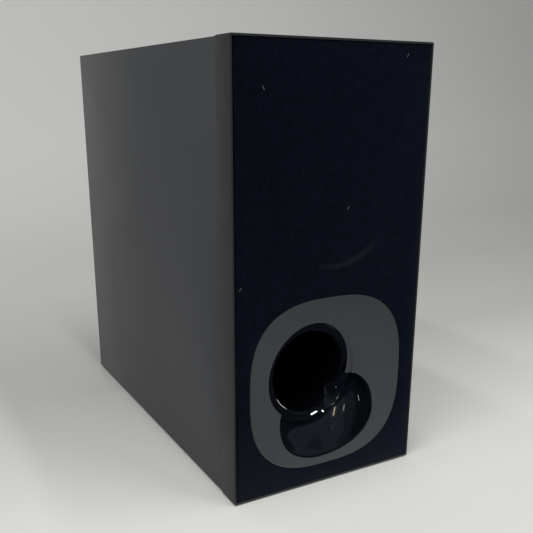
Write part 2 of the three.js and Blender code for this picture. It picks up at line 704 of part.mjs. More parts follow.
// ---------------------------------------------------------------- screws
// a pan-head screw along Y; its head lies on the side that facing (-1 front, 1 back) points to
function screwGeometry(facing, length) {
  const { shank, head, headHeight, tip } = SCREW;
  const { halfWidth, reach, floor } = RECESS;
  const profile = [
    [0, headHeight], [head * 0.7, headHeight], [head, headHeight * 0.45], [head, 0],
    [shank, 0], [shank, -length + tip], [0, -length],
  ];
  const body = turned(profile, 0, 0, 14);
  const recess = [
    block([-reach, reach], [floor, headHeight + 1], [-halfWidth, halfWidth]),
    block([-halfWidth, halfWidth], [floor, headHeight + 1], [-reach, reach]),
  ];
  const screw = cut(body, ...recess);
  return facing > 0 ? screw : screw.rotateZ(Math.PI);
}

function screws() {
  const behindBaffle = BOX_FRONT + BAFFLE + GAP;
  driverScrewPlaces().forEach(([x, z], i) => {
    addPart(`driver_screw_${i + 1}`, screwGeometry(-1, 14), 'screw', [x, BASKET.front - GAP, z]);
  });
  portScrewPlaces().forEach(([x, z], i) => {
    addPart(`port_screw_${i + 1}`, screwGeometry(1, 25), 'screw', [x, behindBaffle, z]);
  });
  ampScrewPlaces().forEach(([x, z], i) => {
    addPart(`amp_plate_screw_${i + 1}`, screwGeometry(1, 13), 'screw', [x, PLATE_OUT + GAP, z]);
  });
}

// ---------------------------------------------------------------- amplifier
function ampScrewPlaces() {
  const inset = 4.5;
  const [x, low, high] = [AMP.halfWidth - inset, AMP.low + inset, AMP.high - inset];
  return [[-x, low], [x, low], [-x, high], [x, high]];
}

// a rectangle about a place on the rear panel
function around({ x, z }, halfWidth, halfHeight, radius = 0) {
  return rectangle(x - halfWidth, x + halfWidth, z - halfHeight, z + halfHeight, radius);
}

function ampPlate() {
  const { halfWidth, low, high } = AMP;
  const outer = rectangle(-halfWidth, halfWidth, low, high, 4);
  outer.holes.push(
    around(INLET, INLET.halfWidth + GAP, INLET.halfHeight + GAP),
    circle(BUTTON.x, BUTTON.z, BUTTON.radius + 0.4),
    circle(LENS.x, LENS.z, LENS.radius + GAP),
  );
  const posts = [];
  const inset = 5;
  for (const x of [-BOARD.halfWidth + inset, BOARD.halfWidth - inset]) {
    for (const z of [BOARD.low + inset, BOARD.high - inset]) {
      posts.push(rod(x, z, 3, BOARD.y + BOARD.thickness + GAP, PLATE_OUT - 0.5, 12));
    }
  }
  const holes = screwHoles(ampScrewPlaces(), PLATE_IN - 1, PLATE_OUT + 1);
  addPart('amp_plate', cut(joined(plate(outer, PLATE_IN, PLATE_OUT, 8), ...posts), ...holes), 'black');

  const seal = rectangle(-halfWidth + 1, halfWidth - 1, low + 1, high - 1, 3);
  const border = AMP.border - 0.5;
  seal.holes.push(rectangle(-halfWidth + border, halfWidth - border, low + border, high - border, 4));
  const sealHoles = screwHoles(ampScrewPlaces(), REAR_FACE, PLATE_IN);
  const face = REAR_FACE + GAP;
  addPart('amp_gasket', cut(plate(seal, face, face + AMP.gasket, 4), ...sealHoles), 'rubber');
}

const HEAT_SINK = { x: -44, width: 44, low: 176, high: 240, base: 5, reach: 30, fins: 6, fin: 2 };
const TRANSFORMER = { x: 6, size: 38, low: 100, height: 48, depth: 34 };
const CAPACITOR = { radius: 11, length: 36, places: [[-30, 130], [-30, 100]] };
const RADIO = { x: [14, 40], z: [205, 240], depth: 4 };
const SWITCH = { halfWidth: 4, reach: 7 };

function ampBoard() {
  const { halfWidth, low, high, thickness, y } = BOARD;
  addPart('amp_board', block([-halfWidth, halfWidth], [y, y + thickness], [low, high]), 'pcb');

  const front = y - GAP;
  const sink = HEAT_SINK;
  const base = block([sink.x, sink.x + sink.width], [front - sink.base, front], [sink.low, sink.high]);
  const fins = [];
  for (let i = 0; i < sink.fins; i++) {
    const x = sink.x + (i * (sink.width - sink.fin)) / (sink.fins - 1);
    fins.push(block([x, x + sink.fin], [front - sink.reach, front - sink.base + 1], [sink.low, sink.high]));
  }
  addPart('heat_sink', joined(base, ...fins), 'aluminium');

  const core = TRANSFORMER;
  const coreTop = core.low + core.height;
  const stack = block([core.x, core.x + core.size], [front - core.depth, front], [core.low, coreTop]);
  const winding = block(
    [core.x + 5, core.x + core.size - 5], [front - core.depth - 4, front - 1], [core.low + 6, coreTop - 6],
  );
  addPart('power_transformer', joined(stack, winding), 'steel');

  CAPACITOR.places.forEach(([x, z], i) => {
    const can = rod(x, z, CAPACITOR.radius, front - CAPACITOR.length, front, 24);
    addPart(`capacitor_${i + 1}`, outward(can), 'black');
  });
  addPart('wireless_module', block(RADIO.x, [front - RADIO.depth, front], RADIO.z), 'aluminium');
  const key = SWITCH.halfWidth;
  addPart('tact_switch', block([BUTTON.x - key, BUTTON.x + key], [y + thickness + GAP, y + SWITCH.reach],
    [BUTTON.z - key, BUTTON.z + key]), 'black');
}

function linkButton() {
  const { radius, travel } = BUTTON;
  const stemEnd = BOARD.y + SWITCH.reach + travel + GAP;
  const collarBack = PLATE_IN - GAP;
  const [collar, stem, capEnd] = [radius + 1.7, 2, PLATE_OUT + 1.8];
  const profile = [
    [0, stemEnd], [stem, stemEnd], [stem, collarBack - 1.5], [collar, collarBack - 1.5], [collar, collarBack],
    [radius, collarBack], [radius, capEnd - 0.5], [radius - 0.5, capEnd], [0, capEnd],
  ];
  addPart('link_button', turned(profile, BUTTON.x, BUTTON.z, 24), 'rubber');

  const [lightIn, lightOut] = [BOARD.y + 8, PLATE_OUT + 0.8];
  const lens = [
    [0, lightIn], [LENS.radius, lightIn], [LENS.radius, lightOut - 0.5],
    [LENS.radius - 0.8, lightOut], [0, lightOut],
  ];
  addPart('indicator_lens', turned(lens, LENS.x, LENS.z, 16), 'lens');
}

// figure-eight mains inlet with its two pins
function acInlet() {
  const { x, z, halfWidth, halfHeight, depth, pinPitch } = INLET;
  const flangeFace = PLATE_OUT + GAP;
  const flange = plate(around(INLET, halfWidth + 3.3, halfHeight + 3.3, 2), flangeFace, flangeFace + 1.6, 3);
  const floor = PLATE_OUT - depth;
  const body = block(
    [x - halfWidth, x + halfWidth], [floor - 4, PLATE_OUT + 1], [z - halfHeight, z + halfHeight],
  );
  const [socketWidth, socketHeight] = [8.3, 4.8];
  const socket = plate(
    around(INLET, socketWidth, socketHeight, socketHeight - 0.01), floor, PLATE_OUT + 3, 6,
  );
  const pins = [x - pinPitch / 2, x + pinPitch / 2];
  const pinHoles = pins.map((pinX) => rod(pinX, z, 1.5, floor - 5, floor + 1, 12));
  addPart('ac_inlet', cut(joined(flange, body), socket, ...pinHoles), 'black');
  pins.forEach((pinX, i) => {
    addPart(`inlet_pin_${i + 1}`, outward(rod(pinX, z, 1.2, floor - 6, floor + 10, 16)), 'steel');
  });
}

const LEAD_RADIUS = 1.7;

// twin lead from the amplifier to the driver, clipped along the right wall
function speakerLead() {
  const route = [
    [45, BOARD.y - GAP, 245], [45, 150, 246], [52, 130, 252], [66, 90, 262], [70, 40, 268], [70, -20, 268],
    [69, -70, 266], [63, -102, 264.5], [59, -115, 264], [59, BASKET.shelf + 2 + GAP, 264],
  ].map((point) => new THREE.Vector3(...point));
  const section = new THREE.Shape().absarc(0, 0, LEAD_RADIUS, 0, 2 * Math.PI);
  const path = new THREE.CatmullRomCurve3(route);
  const lead = new THREE.ExtrudeGeometry(section, { steps: 36, curveSegments: 4, extrudePath: path });
  addPart('speaker_lead', outward(lead), 'rubber');
}

function wadding() {
  const thickness = 16;
  const pad = block([-ROOM.x + GAP, -ROOM.x + thickness], [-90, 120], [180, 355]);
  addPart('damping_wadding', pad, 'wadding');
}

cabinetPanels();
frontFrame();
frontBaffle();
rearPanel();
feet();
grilleCloth();
grilleFrame();
portBezel();
portFlare();
portDuct();
driverBasket();
driverSoftParts();
driverMovingParts();
driverMotor();
driverTerminal();
ampPlate();
ampBoard();
linkButton();
acInlet();
speakerLead();
wadding();
screws();

export default model;
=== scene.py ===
"""Wireless bass cabinet of a soundbar set: the looks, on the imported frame.

Metres, -Y is the front and +Z is up. The shapes of the port, the cloth, the surround and the
wrap are given in millimetres.
"""
import json
import math

import bmesh
import bpy
import numpy as np
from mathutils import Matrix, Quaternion, Vector
from mathutils.bvhtree import BVHTree


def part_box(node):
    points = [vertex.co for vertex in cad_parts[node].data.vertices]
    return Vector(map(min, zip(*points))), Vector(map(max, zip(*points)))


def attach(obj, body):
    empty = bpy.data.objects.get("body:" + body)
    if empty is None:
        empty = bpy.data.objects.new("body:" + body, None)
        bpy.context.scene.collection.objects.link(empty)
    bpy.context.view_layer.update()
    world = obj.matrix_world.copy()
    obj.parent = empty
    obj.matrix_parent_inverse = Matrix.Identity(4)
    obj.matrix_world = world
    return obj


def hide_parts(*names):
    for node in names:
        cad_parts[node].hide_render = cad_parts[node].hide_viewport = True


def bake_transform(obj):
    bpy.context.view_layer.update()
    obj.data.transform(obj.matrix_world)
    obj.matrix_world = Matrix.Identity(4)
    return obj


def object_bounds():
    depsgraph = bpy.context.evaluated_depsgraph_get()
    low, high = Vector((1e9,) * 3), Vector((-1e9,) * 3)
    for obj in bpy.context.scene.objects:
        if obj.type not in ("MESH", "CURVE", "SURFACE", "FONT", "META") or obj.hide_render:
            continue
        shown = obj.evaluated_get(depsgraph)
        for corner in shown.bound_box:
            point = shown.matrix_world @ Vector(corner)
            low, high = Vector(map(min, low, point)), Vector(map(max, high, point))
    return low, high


MM = 0.001
BODY = "cabinet"

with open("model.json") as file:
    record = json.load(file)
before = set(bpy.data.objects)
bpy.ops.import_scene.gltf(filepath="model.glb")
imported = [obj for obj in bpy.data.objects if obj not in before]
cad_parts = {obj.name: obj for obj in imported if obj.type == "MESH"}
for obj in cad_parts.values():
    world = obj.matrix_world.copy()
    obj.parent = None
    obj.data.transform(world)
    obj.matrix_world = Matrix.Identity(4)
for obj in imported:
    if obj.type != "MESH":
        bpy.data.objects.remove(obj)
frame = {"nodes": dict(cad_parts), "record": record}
NODES = frame["nodes"]
SLOTS = {entry["node"]: entry["material_slot"] for entry in frame["record"]["subparts"]}
CAD_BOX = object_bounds()
SCENE = bpy.context.scene

# ---------------------------------------------------------------- camera
# from a fit to the cabinet's corners; lens and sensor in mm, shift as shares of the frame's width
SENSOR = 36.0
LENS = 48.74319
SHIFT = (-0.004878049, 0.09268293)
AZIMUTH, ELEVATION, BANK = (math.radians(angle) for angle in (-29.64, 17.15, 0.25))
DISTANCE = 0.8213
TARGET = Vector((0.0482, 0.0, 0.0988))


def make_camera():
    """The camera at the photograph's angle; the shift is what its framing needs."""
    data = bpy.data.cameras.new("camera")
    data.sensor_width = SENSOR
    data.lens = LENS
    data.shift_x, data.shift_y = SHIFT
    back = Vector((
        math.sin(AZIMUTH) * math.cos(ELEVATION),
        -math.cos(AZIMUTH) * math.cos(ELEVATION),
        math.sin(ELEVATION),
    ))
    camera = bpy.data.objects.new("camera", data)
    SCENE.collection.objects.link(camera)
    camera.location = TARGET + back * DISTANCE
    camera.rotation_mode = "QUATERNION"
    camera.rotation_quaternion = (-back).to_track_quat("-Z", "Y") @ Quaternion((0, 0, 1), BANK)
    SCENE.camera = camera


make_camera()

# ---------------------------------------------------------------- material tools
NOISE_LOW, NOISE_HIGH = 0.3, 0.7        # where most values of a noise lie
MIX_UNDER, MIX_OVER, MIX_RESULT = 6, 7, 2               # the Mix node's colour sockets


class Graph:
    """A short way to write a material's nodes."""

    def __init__(self, name):
        self.material = bpy.data.materials.new(name)
        self.material.use_nodes = True
        self.tree = self.material.node_tree
        self.shader = self.tree.nodes["Principled BSDF"]
        coordinates = self.tree.nodes.new("ShaderNodeTexCoord")
        self.place = coordinates.outputs["Object"]

    def node(self, kind, inputs=None, **settings):
        """A new node, its inputs fed with values or with other nodes' outputs."""
        made = self.tree.nodes.new(kind)
        for key, value in settings.items():
            setattr(made, key, value)
        for key, value in (inputs or {}).items():
            self.feed(made.inputs[key], value)
        return made

    def feed(self, socket, value):
        """Link another node's output to a socket, or set a plain value on it."""
        if isinstance(value, bpy.types.NodeSocket):
            self.tree.links.new(value, socket)
        else:
            socket.default_value = value

    def set(self, **values):
        """Feed the shader's own inputs, written with _ for a space."""
        for key, value in values.items():
            self.feed(self.shader.inputs[key.replace("_", " ")], value)

    def math(self, operation, a, b=0.0):
        return self.node("ShaderNodeMath", {0: a, 1: b}, operation=operation).outputs[0]

    def spread(self, value, low, high, start=0.0, end=1.0):
        """A value that goes from low to high while the given one goes from start to end."""
        made = self.node("ShaderNodeMapRange", {
            "Value": value, "From Min": start, "From Max": end, "To Min": low, "To Max": high,
        })
        return made.outputs["Result"]

    def follow(self, noise, low, high):
        """A value that goes from low to high over the noise's usual range."""
        return self.spread(noise, low, high, NOISE_LOW, NOISE_HIGH)

    def noise(self, size, detail=3.0, stretch=None):
        """Noise whose features are about size metres across."""
        place = self.place
        if stretch:
            place = self.node("ShaderNodeMapping", {"Vector": place, "Scale": stretch}).outputs[0]
        inputs = {"Vector": place, "Scale": 1 / size, "Detail": detail}
        return self.node("ShaderNodeTexNoise", inputs).outputs["Fac"]

    def cells(self, size):
        """Distance to the nearest of points that lie about size metres apart."""
        inputs = {"Vector": self.place, "Scale": 1 / size}
        return self.node("ShaderNodeTexVoronoi", inputs, feature="F1").outputs["Distance"]

    def weighted(self, a, share_a, b, share_b):
        """The sum of two values, each times its share."""
        scaled_a, scaled_b = self.math("MULTIPLY", a, share_a), self.math("MULTIPLY", b, share_b)
        return self.math("ADD", scaled_a, scaled_b)

    def blend(self, factor, dark, light):
        """From one plain colour to another."""
        return self.over((*dark, 1), factor, light)

    def over(self, under, factor, color):
        """A plain colour laid over another one by a factor."""
        made = self.node("ShaderNodeMix", {"Factor": factor}, data_type="RGBA")
        self.feed(made.inputs[MIX_UNDER], under)
        self.feed(made.inputs[MIX_OVER], (*color, 1))
        return made.outputs[MIX_RESULT]

    def bump(self, height, depth, strength=1.0):
        """Relief of about depth metres from a height of 0 to 1."""
        made = self.node("ShaderNodeBump", {
            "Height": height, "Distance": depth, "Strength": strength,
        })
        self.feed(self.shader.inputs["Normal"], made.outputs["Normal"])


def moulded(
    name, dark, light, roughness, grain=0.0006, relief=0.00002, metallic=0.0, mottle=0.03,
):
    """Plastic, rubber or coated metal: slow colour and gloss changes over a fine grain."""
    graph = Graph(name)
    slow = graph.noise(mottle)
    fine = graph.noise(grain, detail=2.0)
    graph.set(Base_Color=graph.blend(slow, dark, light), Metallic=metallic)
    graph.set(Roughness=graph.follow(slow, *roughness))
    graph.bump(fine, relief)
    return graph.material


VINYL_DARK = (0.0490, 0.0499, 0.0546)
VINYL_LIGHT = (0.0565, 0.0574, 0.0622)
VINYL_CELL = 0.0011          # size of the embossed cells
VINYL_CRUMB = 0.0007
VINYL_RELIEF = 0.00006


def vinyl():
    """Charcoal vinyl with a fine embossed leather grain."""
    graph = Graph("charcoal_vinyl")
    slow = graph.noise(0.09, detail=2.0)
    grain = graph.cells(VINYL_CELL)
    crumb = graph.noise(VINYL_CRUMB, detail=2.0)
    height = graph.weighted(grain, 0.7, crumb, 0.4)
    graph.set(Base_Color=graph.blend(slow, VINYL_DARK, VINYL_LIGHT))
    graph.set(Roughness=graph.follow(slow, 0.42, 0.50), Specular_IOR_Level=0.5)
    graph.bump(height, VINYL_RELIEF, 0.6)
    return graph.material


THREAD = 0.00058             # one period of the weave
YARN_LENGTH, YARN_STRETCH = 0.0022, 0.25
CLOTH_DARK = (0.0001, 0.0002, 0.0011)
CLOTH_LIGHT = (0.0016, 0.0023, 0.0054)
# the colour that the cloth turns towards at the bottom
CLOTH_LOWER_TONE = (0.0045, 0.0052, 0.0080)
# colour of the painted highlight where the driver's edge shows through the cloth
CLOTH_RING_HIGHLIGHT = (0.006, 0.0068, 0.0095)
CLOTH_SHEEN = (0.45, 0.58, 1.0, 1)
CLOTH_GLOSS = (0.55, 0.72, 1.0, 1)
CLOTH_RELIEF = 0.0004
LOWER_FROM, LOWER_TO = 0.02, 0.095        # heights over which the cloth's lightening towards the bottom thins out
LOWER_EDGE = 0.04             # how far that edge wanders
# the driver's edge under the cloth: a bump, and a lighter ring of painted highlight
RING = {"x": 0.0, "z": 0.264, "radius": 0.0625, "width": 0.004, "fade": 0.18}
RING_LIT_SIDE = (0.30, 0.95)        # right and down from the driver, towards where the painted highlight is strongest
LINT = (0.10, 0.09, 0.08)
LINT_SPACING = 0.1
LINT_STROKE = (1.0, 0.0, 6.0)           # a fibre is six times as long as it is wide
LINT_LENGTH = 0.02           # half a fibre's length, as a share of the spacing


def cloth():
    """Near-black grille cloth: plain weave, uneven yarn, some lint, lighter low down, a painted
    ring highlight.
    """
    graph = Graph("grille_cloth")
    parts = graph.node("ShaderNodeSeparateXYZ", {"Vector": graph.place})
    x, z = parts.outputs["X"], parts.outputs["Z"]
    waves = []
    for line in (x, z):
        waves.append(graph.math("SINE", graph.math("MULTIPLY", line, 2 * math.pi / THREAD)))
    weave = graph.spread(graph.math("MULTIPLY", waves[0], waves[1]), 0.0, 1.0, -1.0, 1.0)
    warp = graph.noise(YARN_LENGTH, detail=2.0, stretch=(1, 1, YARN_STRETCH))
    weft = graph.noise(YARN_LENGTH, detail=2.0, stretch=(YARN_STRETCH, 1, 1))
    slow = graph.noise(0.05, detail=2.0)
    uneven = graph.spread(graph.math("ADD", warp, weft), 0.0, 1.0, 0.75, 1.25)
    tone = graph.weighted(weave, 0.25, uneven, 0.75)
    yarn = graph.blend(tone, CLOTH_DARK, CLOTH_LIGHT)
    height = graph.math("ADD", z, graph.math("MULTIPLY", slow, LOWER_EDGE))
    # the cloth gets lighter towards the bottom, over a wandering edge
    lower_share = graph.spread(height, 1.0, 0.0, LOWER_FROM, LOWER_TO)
    # painted highlight: the driver's edge shows as a lighter ring, strongest at its lower right
    ring_highlight_and_relief = driver_ring_mask(graph, x, z)
    color = graph.over(graph.over(yarn, lower_share, CLOTH_LOWER_TONE), ring_highlight_and_relief, CLOTH_RING_HIGHLIGHT)
    graph.set(Base_Color=with_lint(graph, color), Roughness=graph.follow(slow, 0.75, 0.9))
    graph.set(Specular_IOR_Level=0.16, Sheen_Weight=0.08, Sheen_Roughness=0.5)
    graph.set(Sheen_Tint=CLOTH_SHEEN, Specular_Tint=CLOTH_GLOSS)
    graph.bump(graph.weighted(tone, 0.3, ring_highlight_and_relief, 0.3), CLOTH_RELIEF, 0.7)
    return graph.material


def driver_ring_mask(graph, x, z):
    """1 low on the driver's edge, where the cloth shows its bump and a painted highlight, fading to
    0 round its sides.
    """
    right = graph.math("SUBTRACT", x, RING["x"])
    down = graph.math("SUBTRACT", RING["z"], z)
    reach = graph.math("SQRT", graph.math(
        "ADD", graph.math("MULTIPLY", right, right), graph.math("MULTIPLY", down, down),
    ))
    away = graph.math("ABSOLUTE", graph.math("SUBTRACT", reach, RING["radius"]))
    line = graph.node("ShaderNodeMapRange", {
        "Value": away, "From Min": 0.0, "From Max": RING["width"], "To Min": 1.0, "To Max": 0.0,
    }, interpolation_type="SMOOTHSTEP").outputs["Result"]
    nearness = graph.math("DIVIDE", graph.weighted(right, RING_LIT_SIDE[0], down, RING_LIT_SIDE[1]), reach)
    return graph.math("MULTIPLY", line, graph.spread(nearness, 0.0, 1.0, 1 - RING["fade"], 1.0))


def with_lint(graph, yarn):
    """A few pale fibres lying on the cloth: short strokes, each turned its own way."""
    def vector(operation, a, b):
        return graph.node("ShaderNodeVectorMath", {0: a, 1: b}, operation=operation).outputs[0]

    scale = (1 / LINT_SPACING,) * 3
    specks = graph.node("ShaderNodeTexVoronoi", {"Vector": graph.place, "Scale": 1 / LINT_SPACING})
    here = vector("MULTIPLY", graph.place, scale)
    there = vector("MULTIPLY", specks.outputs["Position"], scale)
    own = graph.node("ShaderNodeSeparateColor", {"Color": specks.outputs["Color"]}).outputs[0]
    turned = graph.node("ShaderNodeVectorRotate", {
        "Vector": vector("SUBTRACT", here, there), "Axis": (0, 1, 0),
        "Angle": graph.math("MULTIPLY", own, 2 * math.pi),
    }).outputs[0]
    stroke = vector("MULTIPLY", turned, LINT_STROKE)
    length = graph.node("ShaderNodeVectorMath", {0: stroke}, operation="LENGTH").outputs["Value"]
    return graph.over(yarn, graph.math("LESS_THAN", length, LINT_LENGTH), LINT)


BEZEL_DARK = (0.044, 0.0455, 0.049)
BEZEL_LIGHT = (0.0485, 0.050, 0.0538)


def bezel_plastic():
    """Satin grey moulding with a very fine spark texture."""
    graph = Graph("bezel_plastic")
    slow = graph.noise(0.05, detail=2.0)
    spark = graph.noise(0.0005, detail=3.0)
    graph.set(Base_Color=graph.blend(slow, BEZEL_DARK, BEZEL_LIGHT))
    graph.set(Roughness=graph.follow(slow, 0.42, 0.5), Specular_IOR_Level=0.45)
    graph.bump(spark, 0.00002, 0.5)
    return graph.material


def piano_black():
    """Polished black with a trace of orange peel."""
    graph = Graph("piano_black")
    slow = graph.noise(0.03, detail=2.0)
    peel = graph.noise(0.006, detail=1.0)
    graph.set(Base_Color=graph.blend(slow, (0.0010, 0.0012, 0.0020), (0.0020, 0.0024, 0.0036)))
    graph.set(Roughness=graph.follow(slow, 0.03, 0.05))
    graph.bump(peel, 0.00001, 0.4)
    return graph.material


def fibre_board(name, dark, light):
    """Board of fine fibres, bare or painted."""
    graph = Graph(name)
    fibre = graph.noise(0.002, detail=5.0, stretch=(1, 0.3, 0.3))
    graph.set(Base_Color=graph.blend(fibre, dark, light))
    graph.set(Roughness=graph.spread(fibre, 0.75, 0.9))
    graph.bump(fibre, 0.0001, 0.4)
    return graph.material


def circuit_board():
    """Green solder mask over a pattern of copper runs."""
    graph = Graph("circuit_board")
    runs = graph.node("ShaderNodeTexBrick", {
        "Vector": graph.place, "Scale": 120.0, "Mortar Size": 0.03, "Mortar": (0.03, 0.15, 0.07, 1),
        "Color1": (0.010, 0.075, 0.030, 1), "Color2": (0.012, 0.090, 0.036, 1),
    })
    slow = graph.noise(0.02)
    graph.set(Base_Color=runs.outputs["Color"], Roughness=graph.spread(slow, 0.3, 0.45))
    graph.bump(runs.outputs["Fac"], 0.00004, 0.5)
    return graph.material


WIRE = 0.0005                # from one turn of the coil to the next


def winding():
    """Enamelled copper, turn by turn."""
    graph = Graph("copper_winding")
    parts = graph.node("ShaderNodeSeparateXYZ", {"Vector": graph.place})
    turns = graph.math("SINE", graph.math("MULTIPLY", parts.outputs["Y"], 2 * math.pi / WIRE))
    height = graph.spread(turns, 0.0, 1.0, -1.0, 1.0)
    graph.set(Base_Color=graph.blend(height, (0.25, 0.08, 0.03), (0.55, 0.2, 0.08)), Metallic=0.9)
    graph.set(Roughness=graph.spread(height, 0.45, 0.3))
    graph.bump(height, 0.0002)
    return graph.material


MATERIALS = {
    "wrap": vinyl(),
    "cloth": cloth(),
    "bezel_plastic": bezel_plastic(),
    "gloss_black": piano_black(),
    "frame_plastic": moulded(
        "frame_plastic", (0.0190, 0.0194, 0.0214), (0.0215, 0.0219, 0.0240), (0.56, 0.64),
    ),
    "board": fibre_board("fibre_board", (0.22, 0.13, 0.07), (0.34, 0.22, 0.12)),
    "rear_board": fibre_board("painted_board", (0.008, 0.008, 0.009), (0.014, 0.014, 0.015)),
    "foot_rubber": moulded(
        "foot_rubber", (0.008, 0.008, 0.009), (0.014, 0.014, 0.015), (0.75, 0.9),
    ),
    "black_plastic": moulded(
        "black_plastic", (0.010, 0.010, 0.012), (0.015, 0.015, 0.017), (0.45, 0.6),
    ),
    "duct_plastic": moulded("duct_plastic", (0.012, 0.012, 0.012), (0.02, 0.02, 0.02), (0.5, 0.65)),
    "steel": moulded(
        "coated_steel", (0.05, 0.05, 0.055), (0.07, 0.07, 0.075), (0.3, 0.42), metallic=0.6,
    ),
    "soft_rubber": moulded(
        "soft_rubber", (0.010, 0.010, 0.011), (0.015, 0.015, 0.016), (0.55, 0.7),
    ),
    "spider_cloth": moulded(
        "spider_cloth", (0.28, 0.15, 0.04), (0.42, 0.26, 0.09), (0.8, 0.95),
        grain=0.0009, relief=0.0002, mottle=0.004,
    ),
    "paper": moulded(
        "coated_paper", (0.012, 0.012, 0.013), (0.020, 0.020, 0.021), (0.6, 0.8),
        grain=0.0015, relief=0.00015, mottle=0.01,
    ),
    "copper": winding(),
    "ferrite": moulded(
        "ferrite", (0.022, 0.022, 0.024), (0.036, 0.036, 0.038), (0.6, 0.75), metallic=0.2,
    ),
    "rear_plastic": moulded(
        "rear_plastic", (0.011, 0.011, 0.013), (0.016, 0.016, 0.018), (0.55, 0.7),
        grain=0.0009, relief=0.00008,
    ),
    "circuit_board": circuit_board(),
    "aluminium": moulded(
        "aluminium", (0.5, 0.5, 0.52), (0.62, 0.62, 0.64), (0.3, 0.42), metallic=1.0,
    ),
    "button_rubber": moulded("button_rubber", (0.03, 0.03, 0.032), (0.04, 0.04, 0.042), (0.5, 0.6)),
    "lens": moulded("lens", (0.62, 0.7, 0.78), (0.72, 0.8, 0.88), (0.12, 0.2)),
    "pin_metal": moulded(
        "pin_metal", (0.62, 0.62, 0.62), (0.74, 0.74, 0.74), (0.15, 0.25), metallic=1.0,
    ),
    "wadding": moulded(
        "wadding", (0.6, 0.6, 0.57), (0.75, 0.75, 0.71), (0.9, 1.0),
        grain=0.003, relief=0.002, mottle=0.01,
    ),
    "screw_steel": moulded(
        "screw_steel", (0.018, 0.018, 0.02), (0.03, 0.03, 0.032), (0.3, 0.4), metallic=0.8,
    ),
}


def paint_frame_nodes():
    """Every CAD node gets the procedural material of its slot."""
    for node, slot in SLOTS.items():
        mesh = NODES[node].data
        mesh.materials.clear()
        mesh.materials.append(MATERIALS[slot])


paint_frame_nodes()

# ---------------------------------------------------------------- mesh tools
MERGE_DISTANCE = 1e-6
FLAT_ANGLE = math.radians(2)            # neighbouring faces that turn less than this are joined
EDGE_ANGLE = math.radians(35)           # edges sharper than this are rounded


def add_piece(name, mesh, slot, nodes=(), body=BODY):
    """A smooth piece in the shared frame. It rides on a body, if given, and may stand for nodes."""
    for face in mesh.polygons:
        face.use_smooth = True
    mesh.materials.append(MATERIALS[slot])
    piece = bpy.data.objects.new(name, mesh)
    SCENE.collection.objects.link(piece)
    if body:
        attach(piece, body)
    if nodes:
        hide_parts(*nodes)
    return piece


def grid_mesh(name, points, wrap_rows=True, wrap_columns=False):
    """A mesh from an array of points [row, column, xyz] in metres."""
    rows, columns = points.shape[:2]
    faces = []
    for i in range(rows if wrap_rows else rows - 1):
        for j in range(columns if wrap_columns else columns - 1):
            k, m = (i + 1) % rows, (j + 1) % columns
            faces.append((i * columns + j, i * columns + m, k * columns + m, k * columns + j))
    mesh = bpy.data.meshes.new(name)
    mesh.from_pydata(points.reshape(-1, 3).tolist(), [], faces)
    turn_outward(mesh)
    return mesh


def turn_outward(mesh):
    """All faces point out of the solid."""
    work = bmesh.new()
    work.from_mesh(mesh)
    bmesh.ops.recalc_face_normals(work, faces=work.faces)
    work.to_mesh(mesh)
    work.free()


def refined(node, bevel, segments=2, body=BODY):
    """A copy of a CAD node with its flat faces joined up and its edges rounded."""
    mesh = NODES[node].data.copy()
    mesh.materials.clear()
    work = bmesh.new()
    work.from_mesh(mesh)
    bmesh.ops.remove_doubles(work, verts=work.verts, dist=MERGE_DISTANCE)
    bmesh.ops.dissolve_limit(
        work, angle_limit=FLAT_ANGLE, verts=work.verts, edges=work.edges,
    )
    work.to_mesh(mesh)
    work.free()
    piece = add_piece(node + "_fine", mesh, SLOTS[node], [node], body)
    rounding = piece.modifiers.new("rounding", "BEVEL")
    rounding.width = bevel
    rounding.segments = segments
    rounding.limit_method = "ANGLE"
    rounding.angle_limit = EDGE_ANGLE
    rounding.harden_normals = True


# ---------------------------------------------------------------- port surface
# millimetres here, as in the CAD; depths are measured back from the front plane
FRONT = CAD_BOX[0][1] / MM
FRAME_DEPTH = 25.0
PORT = {"x": -1.0, "z": 96.8, "half_width": 78.5, "half_height": 78.2, "power": 2.8}
TUBE = {
    "x": -16.4, "z": 107.0, "mouth": 36.5, "bore": 34.5, "wall": 2.5,
    "tail_from": 76.0, "end": 92.0,
}
RIM = {"x": -17.0, "z": 107.8, "half_width": 45.0, "half_height": 40.7, "power": 2.0, "tilt": 53.3}
DISH = {"x": 4.3, "z": 61.6, "half_width": 51.4, "half_height": 37.0, "power": 2.3, "tilt": 6.2}
# how deep the whole surface sinks, how much deeper the dish is, and how deep the tube's lip lies;
# each one's "lean" makes it deeper towards the right
BASIN = {"depth": 12.0, "lean": 0.08, "power": 3.2}
HOLLOW = {"depth": 1.5, "rise": 0.15, "from": 35.0, "lean": 0.05, "edge": 0.10}
LIP = {"depth": 7.2, "lean": 1.8}
SPIRAL = {"centre": -42.0, "spread": 30.0, "depth": 15.0, "width": 15.0}    # tube opens to dish
ROLL = {"width": 5.0, "drop": 1.5, "power": 3.5, "open_power": 2.0}         # lip into tube
RIDGE = 0.06                 # how fast the lip falls away outside its crest
SOFTNESS = 1.6               # of the crease between the lip and the basin
EDGE_FADE = 0.02             # share of the outline over which the bezel rises to the front plane
# the bezel's inner edge: how far outside the parting line, and how much deeper than its face
BEZEL_LIP = [(0.0, 1.3), (0.0, 0.45), (0.12, 0.15), (0.4, 0.02)]
